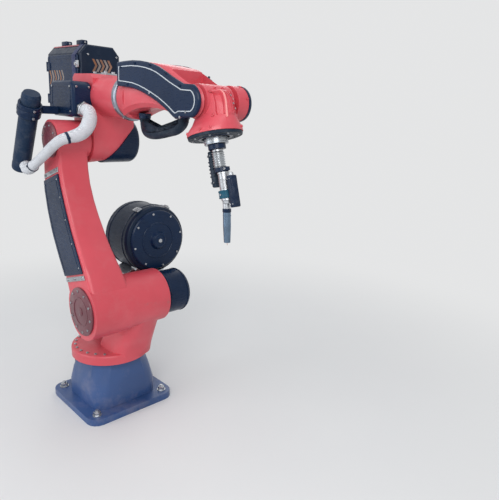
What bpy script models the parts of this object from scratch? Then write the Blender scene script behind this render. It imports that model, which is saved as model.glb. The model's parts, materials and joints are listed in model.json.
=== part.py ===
# Arc welding robot arm with wire feeder, spool housing and torch.
# Metres, +Z up, +X the way the arm reaches, origin at the middle of the base flange's underside.

import math

import bmesh
import bpy
from mathutils import Matrix, Vector

# Gaps: pieces that are bolted together, faces that turn on each other, cutters past a wall.
seat_gap = 0.0003
joint_gap = 0.0006
overrun = 0.02

# Shares of an edge, a rim or a plate that its bevel takes.
bevel_share = 0.3
corner_share = 0.4
lip_share = 0.2
rim_share = 0.5
bell_rim_shares = (0.97, 0.99)

# Fineness of round work.
round_steps = 40
small_steps = 24
corner_steps = 4

# Rest pose, in degrees.
lower_arm_lean = 16.5
forearm_slope = 2.7
torch_angle = 73.0

# Skeleton of the arm.
shoulder_reach = 0.150
shoulder_height = 0.450
lower_arm_length = 0.600
forearm_rise = 0.154
forearm_length = 0.634
wrist_length = 0.088

# Base.
flange_size = 0.360
flange_thickness = 0.026
flange_corner = 0.045
bolt_hole_radius = 0.009
bolt_hole_inset = 0.038
pedestal_width = 0.270
pedestal_corner = 0.060
pedestal_height = 0.174
pedestal_neck_radius = 0.132
panel_width = 0.150
panel_height = 0.104
panel_depth = 0.046
panel_rise = 0.020
panel_edge = 0.003
plug_radius = 0.022
plug_length = 0.020

# Turret.
drum_radius = 0.150
drum_height = 0.038
neck_depth = 0.190
neck_width = 0.134
shoulder_radius = 0.100
shoulder_inner = 0.0314
shoulder_outer = 0.120
shelf_length = 0.110
shelf_thickness = 0.045
shelf_top = 0.480
motor_side = 0.106
motor_height = 0.150
motor_corner = 0.022
motor_setback = 0.088
motor_shift = 0.036
shoulder_motor_radius = 0.084
shoulder_motor_length = 0.112
shoulder_motor_corner = 0.020

# Wire spool housing.
spool_radius = 0.134
spool_depth = 0.178
spool_front = 0.083
spool_side = 0.172
spool_height = 0.645
spool_edge = 0.016
spool_lid_radius = 0.118
spool_lid_thickness = 0.010
spool_boss_radius = 0.030
spool_boss_height = 0.012
cradle_width = 0.100
cradle_wall = 0.018

# Lower arm.
arm_outer = 0.180
arm_inner = 0.064
knee_radius = 0.068
hip_radius = 0.105
hip_inner = 0.032
arm_width = 0.166
arm_thickness = 0.104
arm_bow = 0.052
arm_edge = 0.010
arm_cover_shares = (0.215, 0.80)
strap_shares = (0.178, 0.81)
cover_thickness = 0.007
cover_margin = 0.004
strap_height = 0.016
strap_thickness = 0.003
hip_cover_radius = 0.086
cap_radius = 0.060

# Elbow.
elbow_front = 0.075
elbow_back = 0.077
elbow_top = 0.226
elbow_left = 0.058
elbow_right = 0.099
elbow_bottom_radius = 0.080
elbow_edge = 0.007
neck_radius = 0.068
neck_front = 0.225
ring_radius = 0.073
ring_thickness = 0.02
knee_motor_radius = 0.082
knee_motor_end = 0.124
side_cover_bottom = 0.08
side_cover_top = 0.198
side_cover_front = 0.074
side_cover_back = 0.105
side_cover_depth = 0.072
side_cover_corner = 0.026
side_cover_edge = 0.007
bracket_thickness = 0.006
bracket_left = -0.006
bracket_right = 0.06
bracket_front = 0.045
bracket_drop = 0.100

# Wire feeder.
feeder_width = 0.158
feeder_right = 0.135
feeder_bottom = 0.078
feeder_height = 0.254
feeder_depth = 0.286
feeder_corner = 0.012
feeder_slant_width = 0.026
feeder_slant_height = 0.030
feeder_door_margin = 0.012
feeder_door_thickness = 0.006
catch_length = 0.044
catch_width = 0.026
catch_height = 0.018
catch_setback = 0.050
catch_spacing = 0.128

# Conduit and hose on the elbow's outer side.
conduit_radius = 0.031
conduit_side = 0.226
conduit_collar_radius = 0.036
conduit_collar_length = 0.030
clamp_width = 0.044
clamp_wall = 0.008
hose_radius = 0.019
hose_gland_radius = 0.024
hose_gland_length = 0.016

# Forearm.
forearm_half_width = 0.062
forearm_edge = 0.012
root_radius = 0.066
root_height = 0.070
root_length = 0.018
fork_gap = 0.0530
fork_share = 0.27
fork_end_radius = 0.044
side_panel_thickness = 0.013
side_panel_edge = 0.004
end_housing_radius = 0.048
end_housing_length = 0.046
end_housing_edge = 0.009
loop_radius = 0.0150
loop_gland_radius = 0.0190
loop_clearance = 0.0055
loop_gland_length = 0.014

# Wrist.
wrist_barrel_radius = 0.046
wrist_half_width = 0.0472
wrist_boss_radius = 0.030
wrist_boss_half_width = 0.0524
bell_radius = 0.077
bell_front = 0.078
bell_ring_inner = 0.0385
bell_ring_thickness = 0.008

# Torch.
mount_radius = 0.033
mount_length = 0.026
collar_radius = 0.0245
collar_length = 0.013
stem_radius = 0.0155
stem_length = 0.050
clamp_radius = 0.0195
clamp_length = 0.012
barrel_radius = 0.0155
barrel_length = 0.078
barrel_shift = 0.010
sleeve_radius = 0.0205
sleeve_length = 0.022
sleeve_drop = 0.050
block_depth = 0.020
block_width = 0.023
block_length = 0.086
block_drop = 0.014
block_edge = 0.003
side_body_depth = 0.017
side_body_width = 0.023
side_body_length = 0.100
side_body_drop = 0.004
swan_radius = 0.0105
swan_length = 0.024
swan_bend = 12.0
swan_steps = 6
nozzle_radius = 0.011
nozzle_tip_radius = 0.0092
nozzle_length = 0.092
nozzle_wall = 0.0016
nozzle_bore_depth = 0.045
tip_radius = 0.0034
tip_length = 0.042


def clear_scene():
    for item in list(bpy.data.objects):
        bpy.data.objects.remove(item, do_unlink=True)


def make_material(name, colour, roughness, metallic):
    material = bpy.data.materials.new(name)
    material.use_nodes = True
    shader = material.node_tree.nodes["Principled BSDF"]
    shader.inputs["Base Color"].default_value = (*colour, 1.0)
    shader.inputs["Roughness"].default_value = roughness
    shader.inputs["Metallic"].default_value = metallic
    return material


def make_joint(name, parent, place, turn_degrees):
    # An empty on a joint's axis, turned about Y to the rest pose.
    joint = bpy.data.objects.new(name, None)
    bpy.context.scene.collection.objects.link(joint)
    joint.parent = parent
    joint.location = place
    joint.rotation_euler = (0, math.radians(turn_degrees), 0)
    return joint


def make_object(name, shape, material, parent):
    bmesh.ops.recalc_face_normals(shape, faces=shape.faces)
    mesh = bpy.data.meshes.new(name)
    shape.to_mesh(mesh)
    shape.free()
    mesh.materials.append(material)
    mesh.shade_smooth()
    mesh.set_sharp_from_angle(angle=math.radians(35))
    piece = bpy.data.objects.new(name, mesh)
    bpy.context.scene.collection.objects.link(piece)
    piece.parent = parent
    return piece


def combine(piece, shape, operation):
    # Joins a second shape to a piece, cuts it away or keeps what both share.
    tool = make_object(piece.name + "_tool", shape, piece.data.materials[0], piece.parent)
    tool.hide_render = True
    tool.display_type = "WIRE"
    step = piece.modifiers.new(operation.lower(), "BOOLEAN")
    step.operation = operation
    step.object = tool


def turned(axis):
    # Turns +Z onto the axis named.
    if axis == "X":
        return Matrix.Rotation(math.pi / 2, 4, "Y")
    if axis == "Y":
        return Matrix.Rotation(-math.pi / 2, 4, "X")
    if axis == "-Z":
        return Matrix.Rotation(math.pi, 4, "X")
    return Matrix.Identity(4)


def place_shape(shape, matrix):
    bmesh.ops.transform(shape, matrix=matrix, verts=shape.verts)
    return shape


def revolve(profile, steps, axis="Z", centre=(0, 0, 0)):
    # Turns a profile of (radius, height) pairs; a radius of zero closes on the axis.
    shape = bmesh.new()
    rings = []
    for radius, height in profile:
        if radius == 0:
            rings.append([shape.verts.new((0, 0, height))])
            continue
        ring = []
        for step in range(steps):
            angle = 2 * math.pi * step / steps
            ring.append(shape.verts.new((radius * math.cos(angle), radius * math.sin(angle), height)))
        rings.append(ring)
    closed = len(rings[0]) > 1
    pairs = list(zip(rings, rings[1:]))
    if closed:
        pairs.append((rings[-1], rings[0]))
    for low, high in pairs:
        for step in range(steps):
            after = (step + 1) % steps
            corners = [low[step % len(low)], low[after % len(low)]]
            corners += [high[after % len(high)], high[step % len(high)]]
            shape.faces.new(list(dict.fromkeys(corners)))
    return place_shape(shape, Matrix.Translation(centre) @ turned(axis))


def disc(radius, low, high, steps=round_steps, axis="Z", centre=(0, 0, 0), edge=0):
    # A turned disc or cylinder, its far rim chamfered when edge is given.
    profile = [(0, low), (radius, low)]
    if edge:
        cut = edge * bevel_share
        profile += [(radius, high - edge), (radius - cut, high - cut), (radius - edge, high)]
    else:
        profile += [(radius, high)]
    profile += [(0, high)]
    return revolve(profile, steps, axis, centre)


def rounded_outline(width, height, radius, steps=corner_steps):
    # Corners of a rounded rectangle about zero, anticlockwise.
    points = []
    for corner, (side, end) in enumerate([(1, 1), (-1, 1), (-1, -1), (1, -1)]):
        middle_x = side * (width / 2 - radius)
        middle_y = end * (height / 2 - radius)
        for step in range(steps + 1):
            angle = math.pi / 2 * (corner + step / steps)
            points.append((middle_x + radius * math.cos(angle), middle_y + radius * math.sin(angle)))
    return points


def arc_points(centre, radius, start, end, steps):
    # Points on an arc, angles in degrees.
    points = []
    for step in range(steps + 1):
        angle = math.radians(start + (end - start) * step / steps)
        points.append((centre[0] + radius * math.cos(angle), centre[1] + radius * math.sin(angle)))
    return points


def smooth_line(points, steps):
    # A smooth curve through a few points of a plane or of space.
    points = [Vector(point) for point in points]
    result = []
    for index in range(len(points) - 1):
        before = points[max(index - 1, 0)]
        start = points[index]
        end = points[index + 1]
        after = points[min(index + 2, len(points) - 1)]
        for step in range(steps):
            t = step / steps
            pull_in = (end - before) / 2
            pull_out = (after - start) / 2
            place = start * (2 * t ** 3 - 3 * t ** 2 + 1) + pull_in * (t ** 3 - 2 * t ** 2 + t)
            place += end * (3 * t ** 2 - 2 * t ** 3) + pull_out * (t ** 3 - t ** 2)
            result.append(place)
    result.append(points[-1])
    return result


def loft(sections):
    # Skins closed loops of equal counts and caps both ends.
    shape = bmesh.new()
    rings = [[shape.verts.new(point) for point in section] for section in sections]
    for low, high in zip(rings, rings[1:]):
        for step in range(len(low)):
            after = (step + 1) % len(low)
            shape.faces.new([low[step], low[after], high[after], high[step]])
    shape.faces.new(rings[0])
    shape.faces.new(rings[-1])
    return shape


def plate(outline, plane, low, high, edge=0, edge_both=True):
    # Extrudes an outline of plane XY, XZ or YZ, its rims chamfered inwards when edge is given.
    def lift(point, height):
        if plane == "XY":
            return (point[0], point[1], height)
        if plane == "XZ":
            return (point[0], height, point[1])
        return (height, point[0], point[1])
    if not edge:
        return loft([[lift(point, low) for point in outline], [lift(point, high) for point in outline]])
    inner = inset_outline(outline, edge)
    sections = [[lift(point, low + edge) for point in outline],
                [lift(point, high - edge) for point in outline]]
    sections.append([lift(point, high) for point in inner])
    if edge_both:
        sections.insert(0, [lift(point, low) for point in inner])
    else:
        sections[0] = [lift(point, low) for point in outline]
    return loft(sections)


def inset_outline(outline, distance):
    # Moves each corner of an outline inwards by a distance from both of its sides.
    points = [Vector((point[0], point[1])) for point in outline]
    area = sum(a.x * b.y - b.x * a.y for a, b in zip(points, points[1:] + points[:1]))
    side = 1 if area > 0 else -1
    result = []
    for index, point in enumerate(points):
        before = (point - points[index - 1]).normalized()
        after = (points[(index + 1) % len(points)] - point).normalized()
        normal_before = Vector((-before.y, before.x)) * side
        normal_after = Vector((-after.y, after.x)) * side
        middle = (normal_before + normal_after).normalized()
        reach = distance / max(middle.dot(normal_before), 0.5)
        result.append(tuple(point + middle * reach))
    return result


def box(low, high, edge=0):
    # A block between two corners, all edges bevelled when edge is given.
    shape = bmesh.new()
    bmesh.ops.create_cube(shape, size=1)
    low = Vector(low)
    high = Vector(high)
    size = high - low
    bmesh.ops.scale(shape, vec=size, verts=shape.verts)
    bmesh.ops.translate(shape, vec=(low + high) / 2, verts=shape.verts)
    if edge:
        bmesh.ops.bevel(
            shape, geom=list(shape.edges), offset=edge, segments=2, profile=0.5,
            affect="EDGES", clamp_overlap=True)
    return shape


def tube(name, route, radius, material, parent, steps):
    # A round hose along a smooth curve through its route.
    points = smooth_line(route, steps)
    curve = bpy.data.curves.new(name, "CURVE")
    curve.dimensions = "3D"
    curve.bevel_depth = radius
    curve.bevel_resolution = 3
    curve.render_resolution_u = 0
    curve.use_fill_caps = True
    spline = curve.splines.new("POLY")
    spline.points.add(len(points) - 1)
    for point, place in zip(spline.points, points):
        point.co = (*place, 1)
    curve.materials.append(material)
    hose = bpy.data.objects.new(name, curve)
    bpy.context.scene.collection.objects.link(hose)
    hose.parent = parent
    return hose


clear_scene()

red = make_material("arm_red", (0.62, 0.045, 0.035), 0.38, 0.0)
dark_red = make_material("cap_red", (0.30, 0.022, 0.022), 0.45, 0.0)
blue = make_material("base_blue", (0.02, 0.075, 0.22), 0.45, 0.0)
black = make_material("cover_black", (0.012, 0.013, 0.018), 0.42, 0.0)
housing_black = make_material("feeder_black", (0.02, 0.018, 0.022), 0.35, 0.0)
rubber = make_material("hose_black", (0.014, 0.014, 0.015), 0.62, 0.0)
wrap = make_material("hose_wrap", (0.62, 0.64, 0.66), 0.55, 0.0)
steel = make_material("bright_steel", (0.62, 0.62, 0.62), 0.28, 1.0)
grey = make_material("ring_grey", (0.36, 0.37, 0.38), 0.4, 0.6)
chrome = make_material("tool_chrome", (0.72, 0.72, 0.72), 0.14, 1.0)
teal = make_material("sleeve_teal", (0.03, 0.25, 0.27), 0.4, 0.0)
nozzle_metal = make_material("nozzle_metal", (0.06, 0.055, 0.055), 0.38, 0.9)
copper = make_material("tip_copper", (0.62, 0.27, 0.14), 0.3, 1.0)

base_top = flange_thickness + seat_gap + pedestal_height
turn_height = base_top + joint_gap
base = make_joint("base_frame", None, (0, 0, 0), 0)
joint_1 = make_joint("joint_1", base, (0, 0, turn_height), 0)
joint_2 = make_joint("joint_2", joint_1, (shoulder_reach, 0, shoulder_height - turn_height), -lower_arm_lean)
joint_3 = make_joint("joint_3", joint_2, (0, 0, lower_arm_length), lower_arm_lean + forearm_slope)
joint_4 = make_joint("joint_4", joint_3, (0, 0, forearm_rise), 0)
joint_5 = make_joint("joint_5", joint_4, (forearm_length, 0, 0), torch_angle - 90)
joint_6 = make_joint("joint_6", joint_5, (0, 0, -wrist_length), 0)


def build_base():
    outline = rounded_outline(flange_size, flange_size, flange_corner)
    flange = make_object("base_flange", plate(outline, "XY", 0, flange_thickness), blue, base)
    reach = flange_size / 2 - bolt_hole_inset
    for side in (-1, 1):
        for end in (-1, 1):
            hole = disc(bolt_hole_radius, -overrun, flange_thickness + overrun, small_steps,
                        centre=(side * reach, end * reach, 0))
            combine(flange, hole, "DIFFERENCE")
    # The pedestal runs from a square foot to the round seat of the turret.
    low = flange_thickness + seat_gap
    square = rounded_outline(pedestal_width, pedestal_width, pedestal_corner, 7)
    sections = []
    for height_share, round_share in ((0, 0), (0.30, 0), (0.62, 0.45), (0.86, 1), (1, 1)):
        section = []
        for point in square:
            flat = Vector(point)
            circle = flat.normalized() * pedestal_neck_radius
            place = flat.lerp(circle, round_share)
            section.append((place.x, place.y, low + pedestal_height * height_share))
        sections.append(section)
    pedestal = make_object("base_pedestal", loft(sections), blue, base)
    # The connector panel stands on the pedestal's back.
    back = -pedestal_width / 2 - seat_gap
    low_panel = low + panel_rise
    panel = make_object("connector_panel", box(
        (back - panel_depth, -panel_width / 2, low_panel), (back, panel_width / 2, low_panel + panel_height),
        panel_edge), black, base)
    for side in (-1, 1):
        place = (back - panel_depth, side * panel_width / 4, low_panel + panel_height / 2)
        plug = disc(plug_radius, -plug_length, plug_length / 2, small_steps, "X", place)
        combine(panel, plug, "UNION")
    pedestal_flat = panel_height + panel_rise * 2
    seat = box((back + seat_gap, -panel_width / 2, low), (0, panel_width / 2, low + pedestal_flat))
    combine(pedestal, seat, "UNION")


def build_turret():
    # A drum on the base, a neck that leans forward and the shoulder barrel across it.
    shape = disc(drum_radius, 0, drum_height, round_steps, edge=drum_height * lip_share)
    turret = make_object("turret_casting", shape, red, joint_1)
    rise = shoulder_height - turn_height
    middle = (shoulder_outer - shoulder_inner) / 2
    # Shares: height, middle forward, depth, sideways, width.
    neck_shares = (
        (0.05, 0.40, 0.92, 0.60, 1.30),
        (0.22, 0.46, 0.94, 0.75, 1.22),
        (0.45, 0.62, 0.98, 0.98, 1.04),
        (0.72, 0.84, 1.00, 1.00, 0.98),
        (1.00, 1.00, 0.94, 1.00, 0.96))
    sections = []
    for height, forward, depth, sideways, width in neck_shares:
        outline = rounded_outline(neck_depth * depth, neck_width * width, neck_width * corner_share, 5)
        sections.append([
            (x + shoulder_reach * forward, y + middle * sideways, rise * height) for x, y in outline])
    combine(turret, loft(sections), "UNION")
    barrel = disc(shoulder_radius, -shoulder_inner, shoulder_outer, round_steps, "Y",
                  (shoulder_reach, 0, rise))
    combine(turret, barrel, "UNION")
    shelf_low = shelf_top - shelf_thickness - turn_height
    shelf = box((shoulder_reach - shoulder_radius - shelf_length, shoulder_inner, shelf_low),
                (shoulder_reach, shoulder_outer - seat_gap, shelf_top - turn_height))
    combine(turret, shelf, "UNION")
    outline = rounded_outline(motor_side, motor_side, motor_corner)
    outline = [(x - motor_setback, y + motor_shift) for x, y in outline]
    low = drum_height + seat_gap
    make_object("base_motor_cover", plate(
        outline, "XY", low, low + motor_height, motor_corner * corner_share, False), black, joint_1)
    # The shoulder motor's cover goes on from the barrel.
    start = shoulder_outer + seat_gap
    end = start + shoulder_motor_length
    edge = shoulder_motor_corner
    rim = [(0, start), (shoulder_motor_radius, start), (shoulder_motor_radius, end - edge)]
    for angle in (30, 60, 90):
        turn = math.radians(angle)
        rim.append((shoulder_motor_radius - edge * (1 - math.cos(turn)), end - edge * (1 - math.sin(turn))))
    rim.append((0, end))
    make_object("shoulder_motor_cover", revolve(
        rim, round_steps, "Y", (shoulder_reach, 0, rise)), black, joint_1)


def build_spool():
    height = spool_height - turn_height
    back = spool_front - spool_depth
    centre = (0, spool_side, height)
    profile = [(0, back), (spool_radius - spool_edge, back), (spool_radius, back + spool_edge)]
    profile += [(spool_radius, spool_front - spool_edge)]
    profile += [(spool_radius - spool_edge * bevel_share, spool_front - spool_edge * bevel_share)]
    profile += [(spool_radius - spool_edge, spool_front), (0, spool_front)]
    make_object("spool_housing", revolve(profile, round_steps, "X", centre), housing_black, joint_1)
    low = spool_front + seat_gap
    high = low + spool_lid_thickness
    rim = spool_lid_thickness * rim_share
    profile = [(0, low), (spool_lid_radius, low), (spool_lid_radius, high - rim),
               (spool_lid_radius - rim, high)]
    profile += [(spool_boss_radius * 1.2, high), (spool_boss_radius, high + spool_boss_height)]
    profile += [(0, high + spool_boss_height)]
    make_object("spool_lid", revolve(profile, round_steps, "X", centre), black, joint_1)
    # The cradle carries the housing on the turret's shelf.
    seat = spool_radius + seat_gap
    foot = shelf_top - turn_height + seat_gap
    arc = [(spool_side + y, height + z) for y, z in arc_points((0, 0), seat, -66, -125, 8)]
    outline = [(shoulder_inner + cradle_wall, foot), (shoulder_outer - seat_gap, foot)]
    outline += [(arc[0][0] + cradle_wall * lip_share, arc[0][1] - cradle_wall)]
    outline += arc
    outline += [(shoulder_inner + cradle_wall, arc[-1][1] - cradle_wall)]
    middle = shoulder_reach - shoulder_radius - shelf_length / 2
    cradle = plate(outline, "YZ", middle - cradle_width / 2, middle + cradle_width / 2)
    make_object("spool_cradle", cradle, steel, joint_1)


# Lower arm sections from the hip to the knee: height, bow, width and inner face as shares.
arm_shares = (
    (0.00, 0.00, 1.10, 0.00),
    (0.12, 0.00, 1.08, 0.06),
    (0.22, 0.15, 1.04, 0.34),
    (0.34, 0.50, 1.06, 0.62),
    (0.48, 0.85, 1.06, 0.84),
    (0.62, 1.00, 1.02, 0.97),
    (0.76, 1.00, 0.94, 1.00),
    (0.88, 0.66, 0.87, 0.86),
    (0.97, 0.15, 0.80, 0.50),
    (1.00, 0.00, 0.76, 0.40))
arm_section_shares = (0.02, 0.10, 0.17, 0.25, 0.34, 0.43, 0.53, 0.63, 0.73, 0.82, 0.90, 0.98)


def arm_section(height):
    # Middle, half width and inner face of the lower arm at a share of its height.
    for low, high in zip(arm_shares, arm_shares[1:]):
        if height <= high[0]:
            blend = (height - low[0]) / (high[0] - low[0])
            row = [a + (b - a) * blend for a, b in zip(low, high)]
            break
    middle = -arm_bow * row[1]
    thin = arm_outer - arm_thickness
    near = hip_inner if height < arm_cover_shares[1] else arm_inner
    inner = near + (thin - near) * row[3]
    return middle, arm_width * row[2] / 2, inner


def arm_side(start, end, steps, margin):
    # The side outline of the lower arm between two shares of its height.
    front = []
    back = []
    for step in range(steps + 1):
        height = start + (end - start) * step / steps
        middle, half, inner = arm_section(height)
        front.append((middle + half - margin, lower_arm_length * height))
        back.append((middle - half + margin, lower_arm_length * height))
    return front + back[::-1]


def build_lower_arm():
    sections = []
    for height in arm_section_shares:
        middle, half, inner = arm_section(height)
        depth = arm_outer - inner
        outline = rounded_outline(half * 2, depth, arm_edge + 0.18 * (depth - arm_thickness), 3)
        sections.append([
            (middle + x, y - (arm_outer + inner) / 2, lower_arm_length * height) for x, y in outline])
    arm = make_object("lower_arm_casting", loft(sections), red, joint_2)
    combine(arm, disc(hip_radius, -arm_outer, -hip_inner, round_steps, "Y"), "UNION")
    knee = disc(knee_radius, -arm_outer, -arm_inner, round_steps, "Y", (0, 0, lower_arm_length))
    combine(arm, knee, "UNION")
    # A long flat cover closes the outer side, with a bright strap over each end.
    outline = arm_side(*arm_cover_shares, 10, cover_margin + arm_edge)
    outer = arm_outer + seat_gap
    make_object("lower_arm_cover", plate(
        outline, "XZ", -outer - cover_thickness, -outer, cover_thickness * bevel_share), black, joint_2)
    strap_share = strap_height / lower_arm_length
    for name, height in zip(("cover_strap_lower", "cover_strap_upper"), strap_shares):
        outline = arm_side(height, height + strap_share, 1, cover_margin + arm_edge)
        make_object(name, plate(outline, "XZ", -outer - strap_thickness, -outer), steel, joint_2)
    make_object("hip_cover", disc(
        hip_cover_radius, outer, outer + cover_thickness, round_steps, "Y",
        edge=cover_thickness * corner_share),
        dark_red, joint_2).rotation_euler = (0, 0, math.pi)
    cap = make_object("knee_cap", disc(
        cap_radius, outer, outer + cover_thickness, round_steps, "Y", edge=cover_thickness * corner_share),
        dark_red, joint_2)
    cap.location = (0, 0, lower_arm_length)
    cap.rotation_euler = (0, 0, math.pi)


def elbow_front_outline(grow):
    # The elbow block seen from the front, its lower right corner cut off for the motor.
    slope_top_share = 0.23
    foot_left_share = 0.30
    elbow_top_shares = (0.60, 0.94, 0.86)
    return [
        (-elbow_left, -elbow_bottom_radius - grow),
        (grow, -elbow_bottom_radius * (1 - foot_left_share * rim_share) - grow),
        (elbow_right + grow, elbow_top * slope_top_share - grow),
        (elbow_right + grow, elbow_top * elbow_top_shares[0]),
        (neck_radius, elbow_top * elbow_top_shares[1]),
        (neck_radius * elbow_top_shares[2], elbow_top),
        (-elbow_left, elbow_top)]


def build_elbow():
    # The block is what its side outline and its front outline share.
    side = arc_points((0, 0), elbow_bottom_radius, 180, 360, 16)
    side = [(x * elbow_front / elbow_bottom_radius, z) for x, z in side]
    corner = elbow_edge * 2
    side += [(elbow_front, elbow_top - corner), (elbow_front - corner, elbow_top)]
    side += [(-elbow_back + corner, elbow_top), (-elbow_back, elbow_top - corner)]
    elbow = make_object("elbow_casting", plate(side, "XZ", -elbow_left, elbow_right), red, joint_3)
    block = plate(elbow_front_outline(0), "YZ", -elbow_back - overrun, elbow_front + overrun)
    combine(elbow, block, "INTERSECT")
    neck = disc(neck_radius, side_cover_front + seat_gap, neck_front, round_steps, "X", (0, 0, forearm_rise))
    combine(elbow, neck, "UNION")
    # The hub that turns on the lower arm's knee.
    hub = disc(knee_radius - elbow_edge, -arm_inner + joint_gap, 0, round_steps, "Y")
    combine(elbow, hub, "UNION")
    make_object("elbow_ring", disc(
        ring_radius, neck_front + seat_gap, neck_front + ring_thickness, round_steps, "X",
        (0, 0, forearm_rise), edge=ring_thickness * bevel_share), grey, joint_3)
    # The knee motor's cover closes round the block's cut corner.
    cover = make_object("knee_motor_cover", disc(
        knee_motor_radius, 0, knee_motor_end, round_steps, "Y", edge=elbow_edge * 1.6), black, joint_3)
    cutter = elbow_front_outline(seat_gap)
    cutter[0] = (-elbow_left, -elbow_bottom_radius - overrun)
    cutter.insert(1, (cutter[1][0] - elbow_right * lip_share, -elbow_bottom_radius - overrun))
    combine(cover, plate(cutter, "YZ", -elbow_back - overrun, elbow_front + overrun), "DIFFERENCE")
    # A deep black cover on the outer side of the block.
    outline = rounded_outline(
        side_cover_front + side_cover_back, side_cover_top - side_cover_bottom, side_cover_corner)
    middle_x = (side_cover_front - side_cover_back) / 2
    middle_z = (side_cover_top + side_cover_bottom) / 2
    outline = [(x + middle_x, z + middle_z) for x, z in outline]
    near = elbow_left + seat_gap
    make_object("elbow_side_cover", plate(
        outline, "XZ", -near - side_cover_depth, -near, side_cover_edge), black, joint_3)


def build_feeder():
    # An angle plate holds the feeder behind the block.
    low = elbow_top + seat_gap
    back = -elbow_back - seat_gap - bracket_thickness
    outline = [
        (bracket_front, low), (bracket_front, low + bracket_thickness), (back, low + bracket_thickness),
        (back, low - bracket_drop), (back + bracket_thickness, low - bracket_drop),
        (back + bracket_thickness, low)]
    make_object("feeder_bracket", plate(outline, "XZ", -bracket_left, bracket_right), steel, joint_3)
    # The housing's roof slants down to both sides.
    front = back - seat_gap
    left = feeder_right - feeder_width
    top = feeder_bottom + feeder_height
    outline = [
        (left, feeder_bottom + feeder_corner), (left + feeder_corner, feeder_bottom),
        (feeder_right - feeder_corner, feeder_bottom), (feeder_right, feeder_bottom + feeder_corner),
        (feeder_right, top - feeder_slant_height), (feeder_right - feeder_slant_width, top),
        (left + feeder_slant_width, top), (left, top - feeder_slant_height)]
    make_object("feeder_housing", plate(
        outline, "YZ", front - feeder_depth, front, feeder_corner * corner_share), housing_black, joint_3)
    # A door covers the outer side.
    margin = feeder_door_margin
    width = feeder_depth - margin * 2
    height = feeder_height - feeder_slant_height - feeder_corner - margin
    middle_x = front - feeder_depth / 2
    middle_z = feeder_bottom + feeder_corner + margin / 2 + height / 2
    outline = [(x + middle_x, z + middle_z) for x, z in rounded_outline(width, height, feeder_corner)]
    outer = left - seat_gap
    make_object("feeder_door", plate(
        outline, "XZ", outer - feeder_door_thickness, outer,
        feeder_door_thickness * bevel_share), black, joint_3)
    # Two catches stand on the roof.
    low = top + seat_gap
    side = left + feeder_slant_width + feeder_corner * bevel_share
    for name, start in (
            ("feeder_catch_front", front - catch_setback),
            ("feeder_catch_rear", front - catch_setback - catch_spacing)):
        catch = box((start - catch_length, side, low), (start, side + catch_width, low + catch_height),
                    catch_height * lip_share)
        make_object(name, catch, black, joint_3)


# Places on the elbow, from the knee axis: forward or outward, and up.
conduit_top = (-0.022, 0.150)
conduit_bottom = (-0.165, -0.112)
conduit_grip_share = 0.80
hose_start = (-0.094, 0.106)
hose_lead = 0.005
hose_route = (
    (0.1180, -0.0945, 0.0985),
    (0.1262, -0.0970, 0.0800),
    (0.1270, -0.1050, 0.0580),
    (0.1260, -0.1190, 0.0390),
    (0.1245, -0.1400, 0.0260),
    (0.1210, -0.1680, 0.0180),
    (0.1140, -0.1950, 0.0080),
    (0.0990, -0.2135, -0.0110),
    (0.0660, -0.2195, -0.0330),
    (0.0200, -0.2200, -0.0560),
    (-0.0300, -0.2210, -0.0800),
    (-0.0760, -0.2240, -0.1040))


def build_conduit():
    top = Vector((conduit_top[0], -conduit_side, conduit_top[1]))
    bottom = Vector((conduit_bottom[0], -conduit_side, conduit_bottom[1]))
    along = top - bottom
    turn = along.to_track_quat("Z", "Y").to_matrix().to_4x4()
    frame = Matrix.Translation(bottom) @ turn
    length = along.length
    edge = conduit_radius * bevel_share
    profile = [(0, -edge), (conduit_radius - edge, -edge), (conduit_radius, 0),
               (conduit_radius, length - edge)]
    profile += [(conduit_radius - edge * rim_share, length), (0, length)]
    conduit = revolve(profile, small_steps)
    make_object("rear_conduit", place_shape(conduit, frame), rubber, joint_3)
    # A clamp on the side cover grips the conduit.
    grip = length * conduit_grip_share
    shape = disc(conduit_radius + clamp_wall, grip - clamp_width / 2, grip + clamp_width / 2, small_steps)
    clamp = make_object("conduit_clamp", place_shape(shape, frame), black, joint_3)
    middle = bottom + along * conduit_grip_share
    near = elbow_left + seat_gap + side_cover_depth + seat_gap
    arm = box((middle.x - clamp_width * bevel_share, -conduit_side, middle.z - clamp_width * bevel_share),
              (middle.x + clamp_width * bevel_share, -near, middle.z + clamp_width * bevel_share))
    combine(clamp, arm, "UNION")
    bore = disc(conduit_radius + seat_gap, 0, length + overrun, small_steps)
    combine(clamp, place_shape(bore, frame), "DIFFERENCE")
    # The wrapped hose leaves a gland on the side cover and ends on the conduit's side.
    start = side_cover_front + seat_gap
    gland = disc(hose_gland_radius, start, start + hose_gland_length, small_steps, "X", (0, *hose_start),
                 edge=hose_gland_length * lip_share)
    make_object("hose_gland", gland, steel, joint_3)
    start += hose_gland_length + seat_gap
    lead = [(start + hose_lead * step, *hose_start) for step in range(3)]
    outward = Vector((along.z, 0, -along.x)).normalized()
    end = bottom + along.normalized() * conduit_radius + outward * (conduit_radius + seat_gap)
    tail = [tuple(end + outward * hose_lead * step) for step in (4, 2, 0)]
    tube("wrapped_hose", lead + list(hose_route) + tail, hose_radius, wrap, joint_3, 2)


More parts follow.
